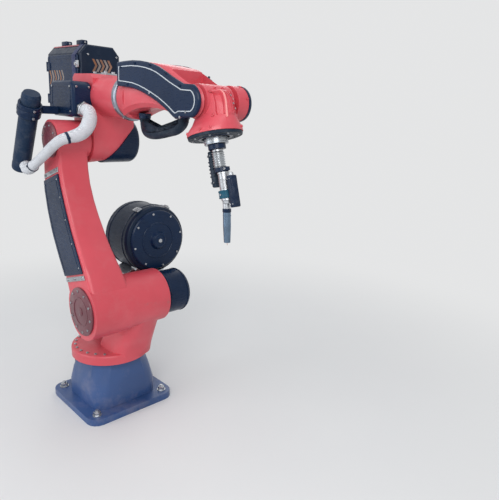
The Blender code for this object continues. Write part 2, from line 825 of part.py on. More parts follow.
# Forearm outline: forward as shares of its length past the root, up as shares of root_height.
root_start = neck_front + ring_thickness + joint_gap
forearm_span = forearm_length - root_start
fork_depth = forearm_span * fork_share
root_end = root_start + root_length + overrun
top_shares = (
    (0.042, 0.978), (0.135, 1.359), (0.274, 1.476), (0.429, 1.449), (0.559, 1.359), (0.696, 1.241),
    (0.809, 0.978), (0.918, 0.716))
under_shares = (
    (0.894, -0.616), (0.755, -0.525), (0.608, -0.389), (0.429, -0.344), (0.282, -0.408),
    (0.151, -0.58), (0.042, -0.797))
panel_top_shares = (
    (0.05, 1.467), (0.274, 1.522), (0.478, 1.431), (0.633, 1.232), (0.788, 0.888), (0.927, 0.616))
panel_under_shares = (
    (0.902, -0.625), (0.845, -0.706), (0.763, -0.471), (0.625, -0.127), (0.453, 0.181),
    (0.282, 0.389), (0.05, 0.471))


def smooth_shares(shares):
    # Places in the forearm's side view along a smooth line through shares.
    line = smooth_line([(root_start + x * forearm_span, z * root_height, 0) for x, z in shares], 2)
    return [(place.x, place.y) for place in line]


def side_outline(upper, lower):
    # A banana outline with a round end about the wrist axis.
    end = arc_points((forearm_length, 0), fork_end_radius, 72, -72, 12)
    return smooth_shares(upper) + end + smooth_shares(lower)


def build_forearm():
    outline = side_outline(top_shares, under_shares)
    shape = plate(outline, "XZ", -forearm_half_width, forearm_half_width, forearm_edge)
    forearm = make_object("forearm_casting", shape, red, joint_4)
    root = disc(root_radius, root_start, root_end, round_steps, "X")
    combine(forearm, root, "UNION")
    fork = box((forearm_length - fork_depth, -fork_gap, -fork_depth),
               (forearm_length + fork_depth, fork_gap, fork_depth))
    combine(forearm, fork, "DIFFERENCE")
    near = forearm_half_width + seat_gap
    far = near + side_panel_thickness
    outline = side_outline(panel_top_shares, panel_under_shares)
    make_object("forearm_cover_right", plate(outline, "XZ", -far, -near, side_panel_edge), black, joint_4)
    # The inner side's cover stops short of the wrist's end housing.
    outline = smooth_shares(panel_top_shares[:-1]) + smooth_shares(panel_under_shares[2:])
    make_object("forearm_cover_left", plate(outline, "XZ", near, far, side_panel_edge), black, joint_4)
    make_object("wrist_end_housing", disc(
        end_housing_radius, near, near + end_housing_length, round_steps, "Y", (forearm_length, 0, 0),
        edge=end_housing_edge), red, joint_4)


# Hose loop under the forearm: rear gland past the root, front gland and route as shares of the span.
loop_front_share = 0.690
loop_lead = 0.007
loop_shares = (
    (0.176, -1.371), (0.222, -1.514), (0.31, -1.529), (0.408, -1.443), (0.516, -1.314), (0.614, -1.186))


def build_loop():
    ends = []
    rear = root_end + loop_gland_radius + loop_clearance
    front = root_start + loop_front_share * forearm_span
    for name, place in (("loop_gland_rear", rear), ("loop_gland_front", front)):
        seat = min(forearm_under(place + side * loop_gland_radius) for side in (-1, 0, 1)) - seat_gap
        gland = disc(loop_gland_radius, seat - loop_gland_length, seat, small_steps, centre=(place, 0, 0))
        make_object(name, gland, black, joint_4)
        low = seat - loop_gland_length - seat_gap
        ends.append([(place, 0, low - loop_lead * step) for step in range(3)])
    middle = [(root_start + x * forearm_span, 0, z * root_height) for x, z in loop_shares]
    tube("forearm_hose", ends[0] + middle + ends[1][::-1], loop_radius, rubber, joint_4, 2)


def forearm_under(forward):
    # Height of the forearm's underside at a place along it.
    points = smooth_shares(under_shares)
    for high, low in zip(points, points[1:]):
        if low[0] <= forward <= high[0]:
            return low[1] + (high[1] - low[1]) * (forward - low[0]) / (high[0] - low[0])
    return points[0][1]


# Wrist sections down the torch axis: drop, front, back and half width as shares.
wrist_shares = (
    (-0.30, 0.46, 0.20, 0.56),
    (-0.22, 0.70, 0.38, 0.82),
    (-0.06, 0.88, 0.52, 0.97),
    (0.20, 0.96, 0.60, 1.00),
    (0.46, 0.98, 0.66, 1.02),
    (0.66, 0.99, 0.80, 1.22),
    (0.86, 1.00, 0.96, 1.56),
    (0.95, 1.00, 1.00, 1.63),
    (1.00, 1.00, 1.00, 1.63))


def build_wrist():
    sections = []
    for drop, front, back, width in wrist_shares:
        section = []
        for step in range(round_steps):
            angle = 2 * math.pi * step / round_steps
            reach = bell_front * front if math.cos(angle) > 0 else bell_radius * back
            section.append((reach * math.cos(angle), wrist_half_width * width * math.sin(angle),
                            -wrist_length * drop))
        sections.append(section)
    wrist = make_object("wrist_casting", loft(sections), red, joint_5)
    combine(wrist, disc(wrist_barrel_radius, -wrist_half_width, wrist_half_width, round_steps, "Y"), "UNION")
    boss = disc(wrist_boss_radius, -wrist_boss_half_width, wrist_boss_half_width, small_steps, "Y")
    combine(wrist, boss, "UNION")
    low = -wrist_length - seat_gap
    profile = [(bell_ring_inner, low - bell_ring_thickness),
               (bell_radius * bell_rim_shares[0], low - bell_ring_thickness)]
    profile += [(bell_radius * bell_rim_shares[1], low), (bell_ring_inner, low)]
    make_object("bell_ring", revolve(profile, round_steps), black, joint_5)


def build_torch():
    # Everything hangs below the wrist's face, down the torch axis.
    top = -joint_gap
    low = top - mount_length
    make_object("torch_mount", disc(mount_radius, low, top), chrome, joint_6)
    top = low - seat_gap
    low = top - collar_length
    make_object("torch_collar", disc(collar_radius, low, top), black, joint_6)
    under_collar = low - seat_gap
    low = under_collar - stem_length
    make_object("torch_stem", disc(stem_radius, low, under_collar, small_steps), steel, joint_6)
    left = -stem_radius - seat_gap - side_body_depth
    make_object("torch_side_body", box(
        (left, -side_body_width / 2, under_collar - side_body_length),
        (left + side_body_depth, side_body_width / 2, under_collar), side_body_drop), rubber, joint_6)
    top = low - seat_gap
    low = top - clamp_length
    shift = (barrel_shift / 2, 0, 0)
    make_object("torch_clamp", disc(clamp_radius, low, top, small_steps, centre=shift), black, joint_6)
    top = low - seat_gap
    low = top - barrel_length
    barrel = disc(barrel_radius, low, top, small_steps, centre=(barrel_shift, 0, 0))
    make_object("torch_barrel", barrel, steel, joint_6)
    inner = barrel_radius + seat_gap
    sleeve_top = top - sleeve_drop
    ring = [(inner, sleeve_top - sleeve_length), (sleeve_radius, sleeve_top - sleeve_length)]
    ring += [(sleeve_radius, sleeve_top), (inner, sleeve_top)]
    make_object("torch_sleeve", revolve(ring, small_steps, centre=(barrel_shift, 0, 0)), teal, joint_6)
    right = barrel_shift + sleeve_radius + seat_gap
    make_object("torch_sensor", box(
        (right, -block_width / 2, top - block_drop - block_length),
        (right + block_depth, block_width / 2, top - block_drop), block_edge), black, joint_6)
    top = low - seat_gap
    # The neck bends back a little, and the nozzle goes on along its end.
    bend = math.radians(swan_bend)
    reach = swan_length / bend
    circle = arc_points((0, 0), swan_radius, 0, 360, small_steps)[:-1]
    sections = []
    for step in range(swan_steps + 1):
        angle = bend * step / swan_steps
        middle = Vector((shift[0] - reach * (1 - math.cos(angle)), 0, top - reach * math.sin(angle)))
        turn = Matrix.Rotation(angle, 3, "Y")
        sections.append([middle + turn @ Vector((x, y, 0)) for x, y in circle])
    make_object("torch_neck", loft(sections), steel, joint_6)
    frame = Matrix.Translation(middle) @ Matrix.Rotation(bend, 4, "Y")
    low = -seat_gap - nozzle_length
    bore_top = low + nozzle_bore_depth
    bore = nozzle_tip_radius - nozzle_wall
    profile = [(0, -seat_gap), (nozzle_radius, -seat_gap), (nozzle_radius, bore_top),
               (nozzle_tip_radius, low)]
    profile += [(bore, low), (bore, bore_top), (0, bore_top)]
    make_object("gas_nozzle", place_shape(revolve(profile, small_steps), frame), nozzle_metal, joint_6)
    top = bore_top - seat_gap
    tip = disc(tip_radius, top - tip_length, top, small_steps)
    make_object("contact_tip", place_shape(tip, frame), copper, joint_6)


build_base()
build_turret()
build_spool()
build_lower_arm()
build_elbow()
build_feeder()
build_conduit()
build_forearm()
build_loop()
build_wrist()
build_torch()
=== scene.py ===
# Looks of a red arc welding robot arm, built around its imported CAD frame.
import json
import math
from itertools import product

import bmesh
import bpy
from mathutils import Matrix, Vector
from mathutils.bvhtree import BVHTree
from mathutils.kdtree import KDTree


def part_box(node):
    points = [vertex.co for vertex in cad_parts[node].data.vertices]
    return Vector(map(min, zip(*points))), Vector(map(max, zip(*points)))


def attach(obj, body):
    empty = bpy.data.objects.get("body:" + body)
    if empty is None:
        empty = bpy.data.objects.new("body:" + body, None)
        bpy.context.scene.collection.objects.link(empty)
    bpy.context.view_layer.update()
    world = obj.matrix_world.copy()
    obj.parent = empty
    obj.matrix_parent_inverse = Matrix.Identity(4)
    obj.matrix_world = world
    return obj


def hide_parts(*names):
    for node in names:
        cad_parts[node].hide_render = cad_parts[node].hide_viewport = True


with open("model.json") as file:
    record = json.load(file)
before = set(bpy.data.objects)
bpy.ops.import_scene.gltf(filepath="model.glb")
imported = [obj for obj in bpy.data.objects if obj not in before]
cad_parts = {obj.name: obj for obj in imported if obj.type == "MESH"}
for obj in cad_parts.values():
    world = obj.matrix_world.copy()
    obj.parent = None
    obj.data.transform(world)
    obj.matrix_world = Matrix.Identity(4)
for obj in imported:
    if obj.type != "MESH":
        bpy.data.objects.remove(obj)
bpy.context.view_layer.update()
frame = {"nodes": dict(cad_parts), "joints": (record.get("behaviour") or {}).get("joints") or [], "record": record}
print("frame loaded:", len(frame["nodes"]), "nodes")

scene = bpy.context.scene
scene.view_settings.view_transform = "Standard"

# Directions in a body's frame. Near is the side of the arm that the camera sees.
ahead = (1, 0, 0)
behind = (-1, 0, 0)
near = (0, -1, 0)
far = (0, 1, 0)
up = (0, 0, 1)
down = (0, 0, -1)

# Joint places and directions, read from the frame so that every piece follows the CAD.
joints = {joint["name"]: joint for joint in frame["joints"]}
jointPlaces = {name: Vector(joint["pos_m"]) for name, joint in joints.items()}
forwardAxis = Vector(joints["forearm_roll"]["axis"]).normalized()
torchAxis = Vector(joints["tool_turn"]["axis"]).normalized()
armLine = jointPlaces["elbow"] - jointPlaces["shoulder"]
sideAxis = Vector(far)


def shift(x, y, z):
    return Matrix.Translation((x, y, z))


def turnBy(degrees, axis):
    return Matrix.Rotation(math.radians(degrees), 4, axis)


def framedAt(joint, upward):
    # A frame on a joint with its Z along upward, its Y kept sideways.
    forward = sideAxis.cross(upward).normalized()
    turn = Matrix((forward, sideAxis, upward.normalized())).transposed().to_4x4()
    return Matrix.Translation(jointPlaces[joint]) @ turn


frames = {
    "base": Matrix(),
    "turret": Matrix.Translation(jointPlaces["base_turn"]),
    "lower_arm": framedAt("shoulder", armLine),
    "elbow": framedAt("elbow", forwardAxis.cross(sideAxis)),
    "forearm": framedAt("forearm_roll", forwardAxis.cross(sideAxis)),
    "wrist": framedAt("wrist_bend", -torchAxis),
    "tool": framedAt("tool_turn", -torchAxis),
}

# Camera

cameraLook = {
    "place": (1.708, -0.89, 1.09),
    "heading": 45.92,   # degrees from +Y towards -X
    "dip": 14.04,
    "roll": 1.63,
    "lens": 35.76,
    "sensor": 36,
}


def addCamera():
    heading, dip, roll = (math.radians(cameraLook[name]) for name in ("heading", "dip", "roll"))
    onward = Vector((-math.sin(heading) * math.cos(dip), math.cos(heading) * math.cos(dip), -math.sin(dip)))
    level = Vector((math.cos(heading), math.sin(heading), 0))
    upright = level.cross(onward)
    right = level * math.cos(roll) + upright * math.sin(roll)
    top = upright * math.cos(roll) - level * math.sin(roll)
    data = bpy.data.cameras.new("camera")
    data.lens = cameraLook["lens"]
    data.sensor_width = cameraLook["sensor"]
    data.sensor_fit = "HORIZONTAL"
    camera = bpy.data.objects.new("camera", data)
    scene.collection.objects.link(camera)
    turn = Matrix((right, top, -onward)).transposed().to_4x4()
    camera.matrix_world = Matrix.Translation(cameraLook["place"]) @ turn
    scene.camera = camera


addCamera()
print("camera placed")

# Materials: tree is a material's node tree


def setInputs(tree, node, values):
    # Each input by name or number: an output is linked to it, a value set on it.
    for key, value in values.items():
        socket = node.inputs[key]
        if hasattr(value, "is_output"):
            tree.links.new(value, socket)
        elif socket.type == "RGBA":
            socket.default_value = (*value, 1)
        else:
            socket.default_value = value


def addNode(tree, kind, values=None, **settings):
    node = tree.nodes.new("ShaderNode" + kind)
    for name, setting in settings.items():
        setattr(node, name, setting)
    setInputs(tree, node, values or {})
    return node


def startMaterial(name):
    material = bpy.data.materials.new(name)
    material.use_nodes = True
    return material, material.node_tree, material.node_tree.nodes["Principled BSDF"]


def addNoise(tree, scale, detail=4.0, roughness=0.55, stretch=(1, 1, 1)):
    # Noise on the piece's own coordinates, stretched when asked.
    place = addNode(tree, "TexCoord").outputs["Object"]
    mapping = addNode(tree, "Mapping", {"Vector": place, "Scale": stretch})
    noise = addNode(tree, "TexNoise", {
        "Vector": mapping.outputs["Vector"], "Scale": scale, "Detail": detail, "Roughness": roughness})
    return noise.outputs["Fac"]


def addRamp(tree, source, low, high, dark=0.0, light=1.0):
    ramp = addNode(tree, "MapRange", {
        "Value": source, "From Min": low, "From Max": high, "To Min": dark, "To Max": light})
    return ramp.outputs["Result"]


def addPatches(tree, noise, low, high, dark=0.0, light=1.0):
    # Noise, given as its scale, detail, roughness and stretch, spread between low and high.
    return addRamp(tree, addNoise(tree, *noise), low, high, dark, light)


def mixColours(tree, share, low, high):
    # Inputs 6 and 7 are the node's two colours.
    return addNode(tree, "Mix", {"Factor": share, 6: low, 7: high}, data_type="RGBA").outputs[2]


def addMath(tree, operation, first, second, clamp=False):
    return addNode(tree, "Math", {0: first, 1: second}, operation=operation, use_clamp=clamp).outputs[0]


def addBump(tree, height, distance, strength):
    bump = addNode(tree, "Bump", {"Height": height, "Strength": strength, "Distance": distance})
    return bump.outputs["Normal"]


# Noise patterns of the finishes: noise, then the two levels it is spread between.
patterns = {
    "edge": (0.53, 0.6),
    "edgeBreaks": ((60, 6), 0.5, 0.72),
    "paintDrift": ((3.2, 3), 0.35, 0.68),
    "paintDust": ((9, 8, 0.7), 0.52, 0.8),
    "paintChips": ((95, 3, 0.6), 0.735, 0.76),
    "paintChipAreas": ((6, 2), 0.55, 0.66),
    "paintGloss": ((22, 5), 0.3, 0.7),
    "plasticDrift": ((5, 4), 0.35, 0.7),
    "plasticDust": ((14, 8, 0.68), 0.5, 0.82),
    "plasticScuffs": ((40, 4, 0.6, (1, 1, 4)), 0.3, 0.72),
    "metalPatches": ((18, 6, 0.65), 0.42, 0.75),
    "metalStreaks": (0.3, 0.7),
    "rubberDust": ((25, 7, 0.7), 0.48, 0.85),
    "rubberGloss": ((60, 4), 0.3, 0.7),
    "wrapStrands": (0.3, 0.9),
    "wrapGrime": ((16, 7, 0.7), 0.5, 0.78),
}


def edgeWear(tree, amount):
    # Bright at convex edges, broken up by noise.
    geometry = addNode(tree, "NewGeometry")
    edge = addRamp(tree, geometry.outputs["Pointiness"], *patterns["edge"])
    broken = addPatches(tree, *patterns["edgeBreaks"])
    return addMath(tree, "MULTIPLY", addMath(tree, "MULTIPLY", edge, broken), amount)


def addDust(tree, kind, shade, colour, amount, dustColour):
    # Slow drift from shade to colour, with dust on it in patches.
    base = mixColours(tree, addPatches(tree, *patterns[kind + "Drift"]), shade, colour)
    dust = addPatches(tree, *patterns[kind + "Dust"], 0, amount)
    return mixColours(tree, dust, base, dustColour)


def makePaint(name, colour, shade, worn, roughness, coat=0.3, dustAmount=0.25):
    # Sprayed paint: slow colour drift, dust in patches, fine chips and a faint orange peel.
    material, tree, shader = startMaterial(name)
    base = addDust(tree, "paint", shade, colour, dustAmount, (0.5, 0.4, 0.38))
    chips = addPatches(tree, *patterns["paintChips"])
    chips = addMath(tree, "MULTIPLY", chips, addPatches(tree, *patterns["paintChipAreas"]))
    wear = addMath(tree, "MAXIMUM", edgeWear(tree, 0.55), chips)
    setInputs(tree, shader, {
        "Base Color": mixColours(tree, wear, base, worn),
        "Roughness": addPatches(tree, *patterns["paintGloss"], roughness - 0.07, roughness + 0.13),
        "Coat Weight": coat,
        "Coat Roughness": 0.16,
        "Normal": addBump(tree, addNoise(tree, 420, 2), 0.0006, 0.22)})
    return material


def makePlastic(name, colour, shade, roughness, grain=900, coat=0.0, dustAmount=0.16):
    # Moulded plastic with a fine grain, scuffs and a little dust.
    material, tree, shader = startMaterial(name)
    base = addDust(tree, "plastic", shade, colour, dustAmount, (0.36, 0.38, 0.42))
    setInputs(tree, shader, {
        "Base Color": mixColours(tree, edgeWear(tree, 0.3), base, (0.16, 0.19, 0.24)),
        "Roughness": addPatches(tree, *patterns["plasticScuffs"], roughness - 0.08, roughness + 0.16),
        "Specular IOR Level": 0.16,
        "Coat Weight": coat,
        "Coat Roughness": 0.2,
        "Normal": addBump(tree, addNoise(tree, grain, 2), 0.0004, 0.25)})
    return material


def makeMetal(name, colour, tarnish, roughness, stretch=(1, 1, 1)):
    # Bare metal with machining streaks and a little tarnish.
    material, tree, shader = startMaterial(name)
    streaks = addNoise(tree, 90, 4, 0.6, stretch)
    setInputs(tree, shader, {
        "Base Color": mixColours(tree, addPatches(tree, *patterns["metalPatches"]), colour, tarnish),
        "Roughness": addRamp(tree, streaks, *patterns["metalStreaks"], roughness - 0.07, roughness + 0.12),
        "Metallic": 1.0,
        "Normal": addBump(tree, streaks, 0.0003, 0.25)})
    return material


def makeRubber(name, colour, roughness):
    material, tree, shader = startMaterial(name)
    dust = addPatches(tree, *patterns["rubberDust"], 0, 0.3)
    setInputs(tree, shader, {
        "Base Color": mixColours(tree, dust, colour, (0.2, 0.21, 0.23)),
        "Roughness": addPatches(tree, *patterns["rubberGloss"], roughness - 0.08, roughness + 0.1),
        "Specular IOR Level": 0.2,
        "Normal": addBump(tree, addNoise(tree, 700, 3), 0.0004, 0.3)})
    return material


def makeWrap(name):
    # Pale woven sleeve: crossed strands on the hose's own coordinates, grimy in places.
    material, tree, shader = startMaterial(name)
    place = addNode(tree, "TexCoord").outputs["Object"]
    strands = []
    for turn in (0.8, -0.8):
        mapping = addNode(tree, "Mapping", {"Vector": place, "Rotation": (turn, turn * 0.6, turn)})
        wave = addNode(tree, "TexWave", {
            "Vector": mapping.outputs["Vector"], "Scale": 130, "Distortion": 0.6})
        strands.append(wave.outputs["Fac"])
    weave = addMath(tree, "MAXIMUM", *strands)
    share = addRamp(tree, weave, *patterns["wrapStrands"])
    base = mixColours(tree, share, (0.4, 0.42, 0.46), (0.74, 0.76, 0.8))
    grime = addPatches(tree, *patterns["wrapGrime"], 0, 0.55)
    setInputs(tree, shader, {
        "Base Color": mixColours(tree, grime, base, (0.28, 0.28, 0.3)),
        "Roughness": 0.55,
        "Sheen Weight": 0.25,
        "Normal": addBump(tree, weave, 0.0012, 0.6)})
    return material


# Paints: colour, shade, worn colour, roughness, coat, dust.
# Plastics: colour, shade, roughness, grain, coat, dust. Metals: colour, tarnish, roughness, streaks.
finishes = {
    "arm_red": makePaint(
        "armRed", (0.7, 0.09, 0.118), (0.58, 0.06, 0.082), (0.34, 0.13, 0.13), 0.4, 0.08, 0.14),
    "cap_red": makePaint("capRed", (0.17, 0.03, 0.048), (0.11, 0.02, 0.032), (0.16, 0.08, 0.08), 0.42),
    "base_blue": makePaint(
        "baseBlue", (0.03, 0.085, 0.25), (0.018, 0.055, 0.17), (0.2, 0.22, 0.26), 0.42),
    "cover_black": makePlastic(
        "coverBlack", (0.005, 0.021, 0.062), (0.003, 0.013, 0.04), 0.28, coat=0.1, dustAmount=0.03),
    "feeder_black": makePlastic(
        "feederBlack", (0.007, 0.019, 0.045), (0.004, 0.011, 0.028), 0.32, 600, 0.08, 0.04),
    "hose_black": makeRubber("hoseBlack", (0.008, 0.02, 0.038), 0.5),
    "hose_wrap": makeWrap("hoseWrap"),
    "bright_steel": makeMetal("brightSteel", (0.48, 0.5, 0.53), (0.31, 0.31, 0.32), 0.33, (1, 1, 6)),
    "ring_grey": makeMetal("ringGrey", (0.32, 0.36, 0.42), (0.2, 0.22, 0.25), 0.34),
    "tool_chrome": makeMetal("toolChrome", (0.48, 0.51, 0.54), (0.34, 0.34, 0.35), 0.3, (1, 1, 8)),
    "sleeve_teal": makePlastic("sleeveTeal", (0.014, 0.12, 0.19), (0.008, 0.08, 0.13), 0.34),
    "nozzle_metal": makeMetal("nozzleMetal", (0.15, 0.22, 0.31), (0.07, 0.09, 0.12), 0.36),
    "tip_copper": makeMetal("tipCopper", (0.7, 0.3, 0.16), (0.35, 0.14, 0.09), 0.24),
}
conduitBlue = makeRubber("conduitBlue", (0.008, 0.024, 0.058), 0.46)
# Pale pink paint for the wrist's ridge: a painted highlight along its lit edge.
ridgePaintedHighlight = makePaint(
    "ridgePaintedHighlight", (0.86, 0.34, 0.32), (0.74, 0.2, 0.2), (0.62, 0.5, 0.48), 0.3, 0.2, 0.1)
# Nodes whose look differs from their slot's.
ownFinish = {"rear_conduit": conduitBlue, "bell_ring": finishes["hose_black"]}
print("materials made:", len(finishes) + 2)

# Shared ways of making and finishing pieces

slotOf = {entry["node"]: entry["material_slot"] for entry in frame["record"]["subparts"]}
bodyOf = {node: body for body, nodes in frame["record"]["behaviour"]["bodies"].items() for node in nodes}


def finishPiece(name, shape, body, slot="bright_steel", place=None, sharp=32, material=None, smooth=True):
    # Turns a bmesh into a piece that rides on a body, its place in its mesh.
    if place is not None:
        bmesh.ops.transform(shape, matrix=place, verts=shape.verts)
    mesh = bpy.data.meshes.new(name)
    shape.to_mesh(mesh)
    shape.free()
    if smooth:
        mesh.shade_smooth()
        mesh.set_sharp_from_angle(angle=math.radians(sharp))
    mesh.materials.append(material or finishes[slot])
    piece = bpy.data.objects.new(name, mesh)
    scene.collection.objects.link(piece)
    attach(piece, body)
    return piece


def faceOut(shape):
    bmesh.ops.recalc_face_normals(shape, faces=shape.faces)


def addBevel(piece, width, segments=3, angle=30):
    step = piece.modifiers.new("edges", "BEVEL")
    step.width = width
    step.segments = segments
    step.limit_method = "ANGLE"
    step.angle_limit = math.radians(angle)
    step.harden_normals = True
    step.use_clamp_overlap = True


def mergedCopy(node, flatness=0.6):
    # A merged copy of a CAD node's mesh, its flat triangles joined to faces.
    shape = bmesh.new()
    shape.from_mesh(frame["nodes"][node].data)
    bmesh.ops.remove_doubles(shape, verts=shape.verts, dist=0.00002)
    bmesh.ops.dissolve_limit(
        shape, angle_limit=math.radians(flatness), verts=shape.verts, edges=shape.edges, delimit={"NORMAL"})
    faceOut(shape)
    return shape


def dressNode(node, width):
    # The CAD form with rounded edges and a smooth surface, in place of its node.
    piece = finishPiece(
        node + "_skin", mergedCopy(node), bodyOf[node], slotOf[node], material=ownFinish.get(node))
    if width:
        addBevel(piece, width)
    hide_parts(node)


# Edge roundings of the pieces whose CAD form is kept, in metres, 0.001 where none is given.
edgeWidths = {
    "base_flange": 0.0025, "base_pedestal": 0.004, "connector_panel": 0.002, "turret_casting": 0.006,
    "base_motor_cover": 0.003, "shoulder_motor_cover": 0.002, "spool_housing": 0.002, "spool_lid": 0.0015,
    "spool_cradle": 0.0015, "lower_arm_casting": 0.007, "lower_arm_cover": 0.0012,
    "cover_strap_lower": 0.0006, "cover_strap_upper": 0.0006, "elbow_casting": 0.006, "elbow_ring": 0.0012,
    "knee_motor_cover": 0.003, "elbow_side_cover": 0.003, "feeder_housing": 0.002, "feeder_door": 0.0012,
    "feeder_catch_front": 0.0015, "feeder_catch_rear": 0.0015, "rear_conduit": 0, "conduit_clamp": 0.002,
    "forearm_casting": 0.004, "forearm_cover_right": 0.0012, "forearm_cover_left": 0.0012,
    "wrist_end_housing": 0.0015, "bell_ring": 0.0012, "torch_mount": 0.0015, "torch_sensor": 0.0015,
    "torch_neck": 0.0008, "gas_nozzle": 0.0003, "contact_tip": 0.0005,
}
reshaped = ("wrapped_hose", "forearm_hose", "wrist_casting")   # made anew further down
kept = [node for node in bodyOf if node not in reshaped]
for node in kept:
    dressNode(node, edgeWidths.get(node, 0.001))
print("nodes dressed:", len(kept))

# Small parts: screws, turned rings, boxes, trim and bands


def facingTurn(facing):
    return Vector(facing).to_track_quat("Z", "Y").to_matrix().to_4x4()


def spot(home, place, facing):
    # A place in a body's frame, its Z along facing.
    return home @ Matrix.Translation(place) @ facingTurn(facing)


def spots(home, facing, points):
    return [spot(home, point, facing) for point in points]


def middleOf(low, high):
    return [(first + second) / 2 for first, second in zip(low, high)]


def addPin(shape, place, radius, height, sides, tip=None):
    # A round pin centred on its place, tapered where its tip's radius is given.
    return bmesh.ops.create_cone(
        shape, cap_ends=True, segments=sides, radius1=radius, radius2=tip or radius, depth=height,
        matrix=place)


def addScrew(shape, place, radius, height, sides=12, socket=0.55):
    # A screw head with a chamfer, and a socket in it where socket is above zero.
    sunk = 0.0004
    made = addPin(shape, place @ shift(0, 0, (height - sunk) / 2), radius, height + sunk, sides)
    upward = place.to_3x3() @ Vector(up)
    faces = {face for vert in made["verts"] for face in vert.link_faces}
    top = max(faces, key=lambda face: face.calc_center_median().dot(upward))
    steps = [(radius * 0.16, radius * 0.1)]   # chamfer, then the socket's rim and depth
    if socket:
        steps += [(radius * 0.84 * (1 - socket), 0), (radius * 0.03, -height * 0.6)]
    for thickness, depth in steps:
        bmesh.ops.inset_region(shape, faces=[top], thickness=thickness, depth=depth)


def addScrews(name, body, places, radius, height, sides=12, socket=0.55, slot="bright_steel"):
    shape = bmesh.new()
    for place in places:
        addScrew(shape, place, radius, height, sides, socket)
    finishPiece(name, shape, body, slot, sharp=28)


def circlePlaces(middle, radius, count, start=0.0):
    # Places evenly round a circle in middle's XY plane.
    places = []
    for index in range(count):
        angle = math.radians(start) + math.tau * index / count
        places.append(middle @ shift(radius * math.cos(angle), radius * math.sin(angle), 0))
    return places


def turned(profile, steps=48, closed=False):
    # A profile of (radius, height) turned about Z.
    shape = bmesh.new()
    verts = [shape.verts.new((radius, 0, height)) for radius, height in profile]
    pairs = list(zip(verts, verts[1:]))
    if closed:
        pairs.append((verts[-1], verts[0]))
    edges = [shape.edges.new(pair) for pair in pairs]
    bmesh.ops.spin(
        shape, geom=verts + edges, axis=up, cent=(0, 0, 0), steps=steps, angle=math.tau, use_merge=True)
    bmesh.ops.remove_doubles(shape, verts=shape.verts, dist=0.00001)
    faceOut(shape)
    return shape


def addTurned(name, body, slot, profile, place, steps=48, closed=False, sharp=32, material=None):
    finishPiece(name, turned(profile, steps, closed), body, slot, place, sharp, material)


def addRing(name, body, slot, place, inner, outer, low, high, lip=0.0008, steps=64):
    # A flat ring with its outer and inner edges chamfered.
    profile = [(inner, low), (inner, high - lip), (inner + lip, high), (outer - lip, high),
               (outer, high - lip), (outer, low)]
    addTurned(name, body, slot, profile, place, steps, closed=True)


def addBox(shape, home, low, high, edge=0.001):
    # A block between two corners in a body's frame, its edges rounded.
    low = Vector(low)
    high = Vector(high)
    size = high - low
    place = home @ Matrix.Translation((low + high) / 2) @ Matrix.Diagonal((*size, 1))
    made = bmesh.ops.create_cube(shape, size=1, matrix=place)
    if edge:
        edges = {side for vert in made["verts"] for side in vert.link_edges}
        bmesh.ops.bevel(
            shape, geom=list(edges), offset=edge, segments=2, profile=0.5, affect="EDGES",
            clamp_overlap=True, material=-1)


def addBoxes(name, body, slot, edge, boxes):
    # One piece of blocks, each given by its two corners.
    shape = bmesh.new()
    for low, high in boxes:
        addBox(shape, frames[body], low, high, edge)
    finishPiece(name, shape, body, slot)


def liftCopy(shape, offset):
    # Extrudes all faces, moves the new ones by offset and returns their vertices.
    made = bmesh.ops.extrude_face_region(shape, geom=shape.faces[:])
    lifted = [item for item in made["geom"] if isinstance(item, bmesh.types.BMVert)]
    bmesh.ops.translate(shape, vec=offset, verts=lifted)
    return lifted


def outerFace(shape, direction):
    # The widest face that looks along direction.
    facing = [face for face in shape.faces if face.normal.dot(direction) > 0.98]
    return max(facing, key=lambda face: face.calc_area())


def addTrim(name, node, direction, margin, width, lift, material=None):
    # A narrow raised line that follows a cover's rim at a margin inside it.
    direction = Vector(direction)
    shape = mergedCopy(node)
    face = outerFace(shape, direction)
    bmesh.ops.delete(shape, geom=[other for other in shape.faces if other is not face], context="FACES")
    bmesh.ops.inset_region(shape, faces=[face], thickness=margin, use_even_offset=True, use_boundary=True)
    bmesh.ops.delete(shape, geom=[other for other in shape.faces if other is not face], context="FACES")
    face = outerFace(shape, direction)
    bmesh.ops.inset_region(shape, faces=[face], thickness=width, use_even_offset=True, use_boundary=True)
    bmesh.ops.delete(shape, geom=[face], context="FACES_ONLY")
    lifted = liftCopy(shape, direction * lift)
    sunk = [vert for vert in shape.verts if vert not in lifted]
    bmesh.ops.translate(shape, vec=-direction * 0.0003, verts=sunk)
    faceOut(shape)
    finishPiece(name, shape, bodyOf[node], "cover_black", sharp=40, material=material)


# Where a piece stands on a curved casting, its height comes from the casting itself

surfaces = {}


def landOn(node, start, direction):
    # The point and outward direction where a line in a node's body frame meets the node, or nothing.
    if node not in surfaces:
        shape = mergedCopy(node)
        bmesh.ops.triangulate(shape, faces=shape.faces)
        surfaces[node] = BVHTree.FromBMesh(shape)
        shape.free()
    home = frames[bodyOf[node]]
    line = (home.to_3x3() @ Vector(direction)).normalized()
    hit, normal = surfaces[node].ray_cast(home @ Vector(start), line)[:2]
    if hit is None:
        return None
    back = home.inverted()
    return back @ hit, (back.to_3x3() @ normal).normalized()


def landRound(node, centre, reach, angles, across, upright, follow=False):
    # Places round a node, met from reach towards centre at angles from across to upright.
    places = []
    for angle in angles:
        turn = math.radians(angle)
        outward = Vector(across) * math.cos(turn) + Vector(upright) * math.sin(turn)
        hit = landOn(node, Vector(centre) + outward * reach, -outward)
        if hit:
            places.append(spot(frames[bodyOf[node]], hit[0], hit[1] if follow else outward))
    return places


def cornersOf(node):
    # The least and most corner of a node in its body's frame.
    back = frames[bodyOf[node]].inverted()
    points = [back @ vert.co for vert in frame["nodes"][node].data.vertices]
    return Vector([min(axis) for axis in zip(*points)]), Vector([max(axis) for axis in zip(*points)])


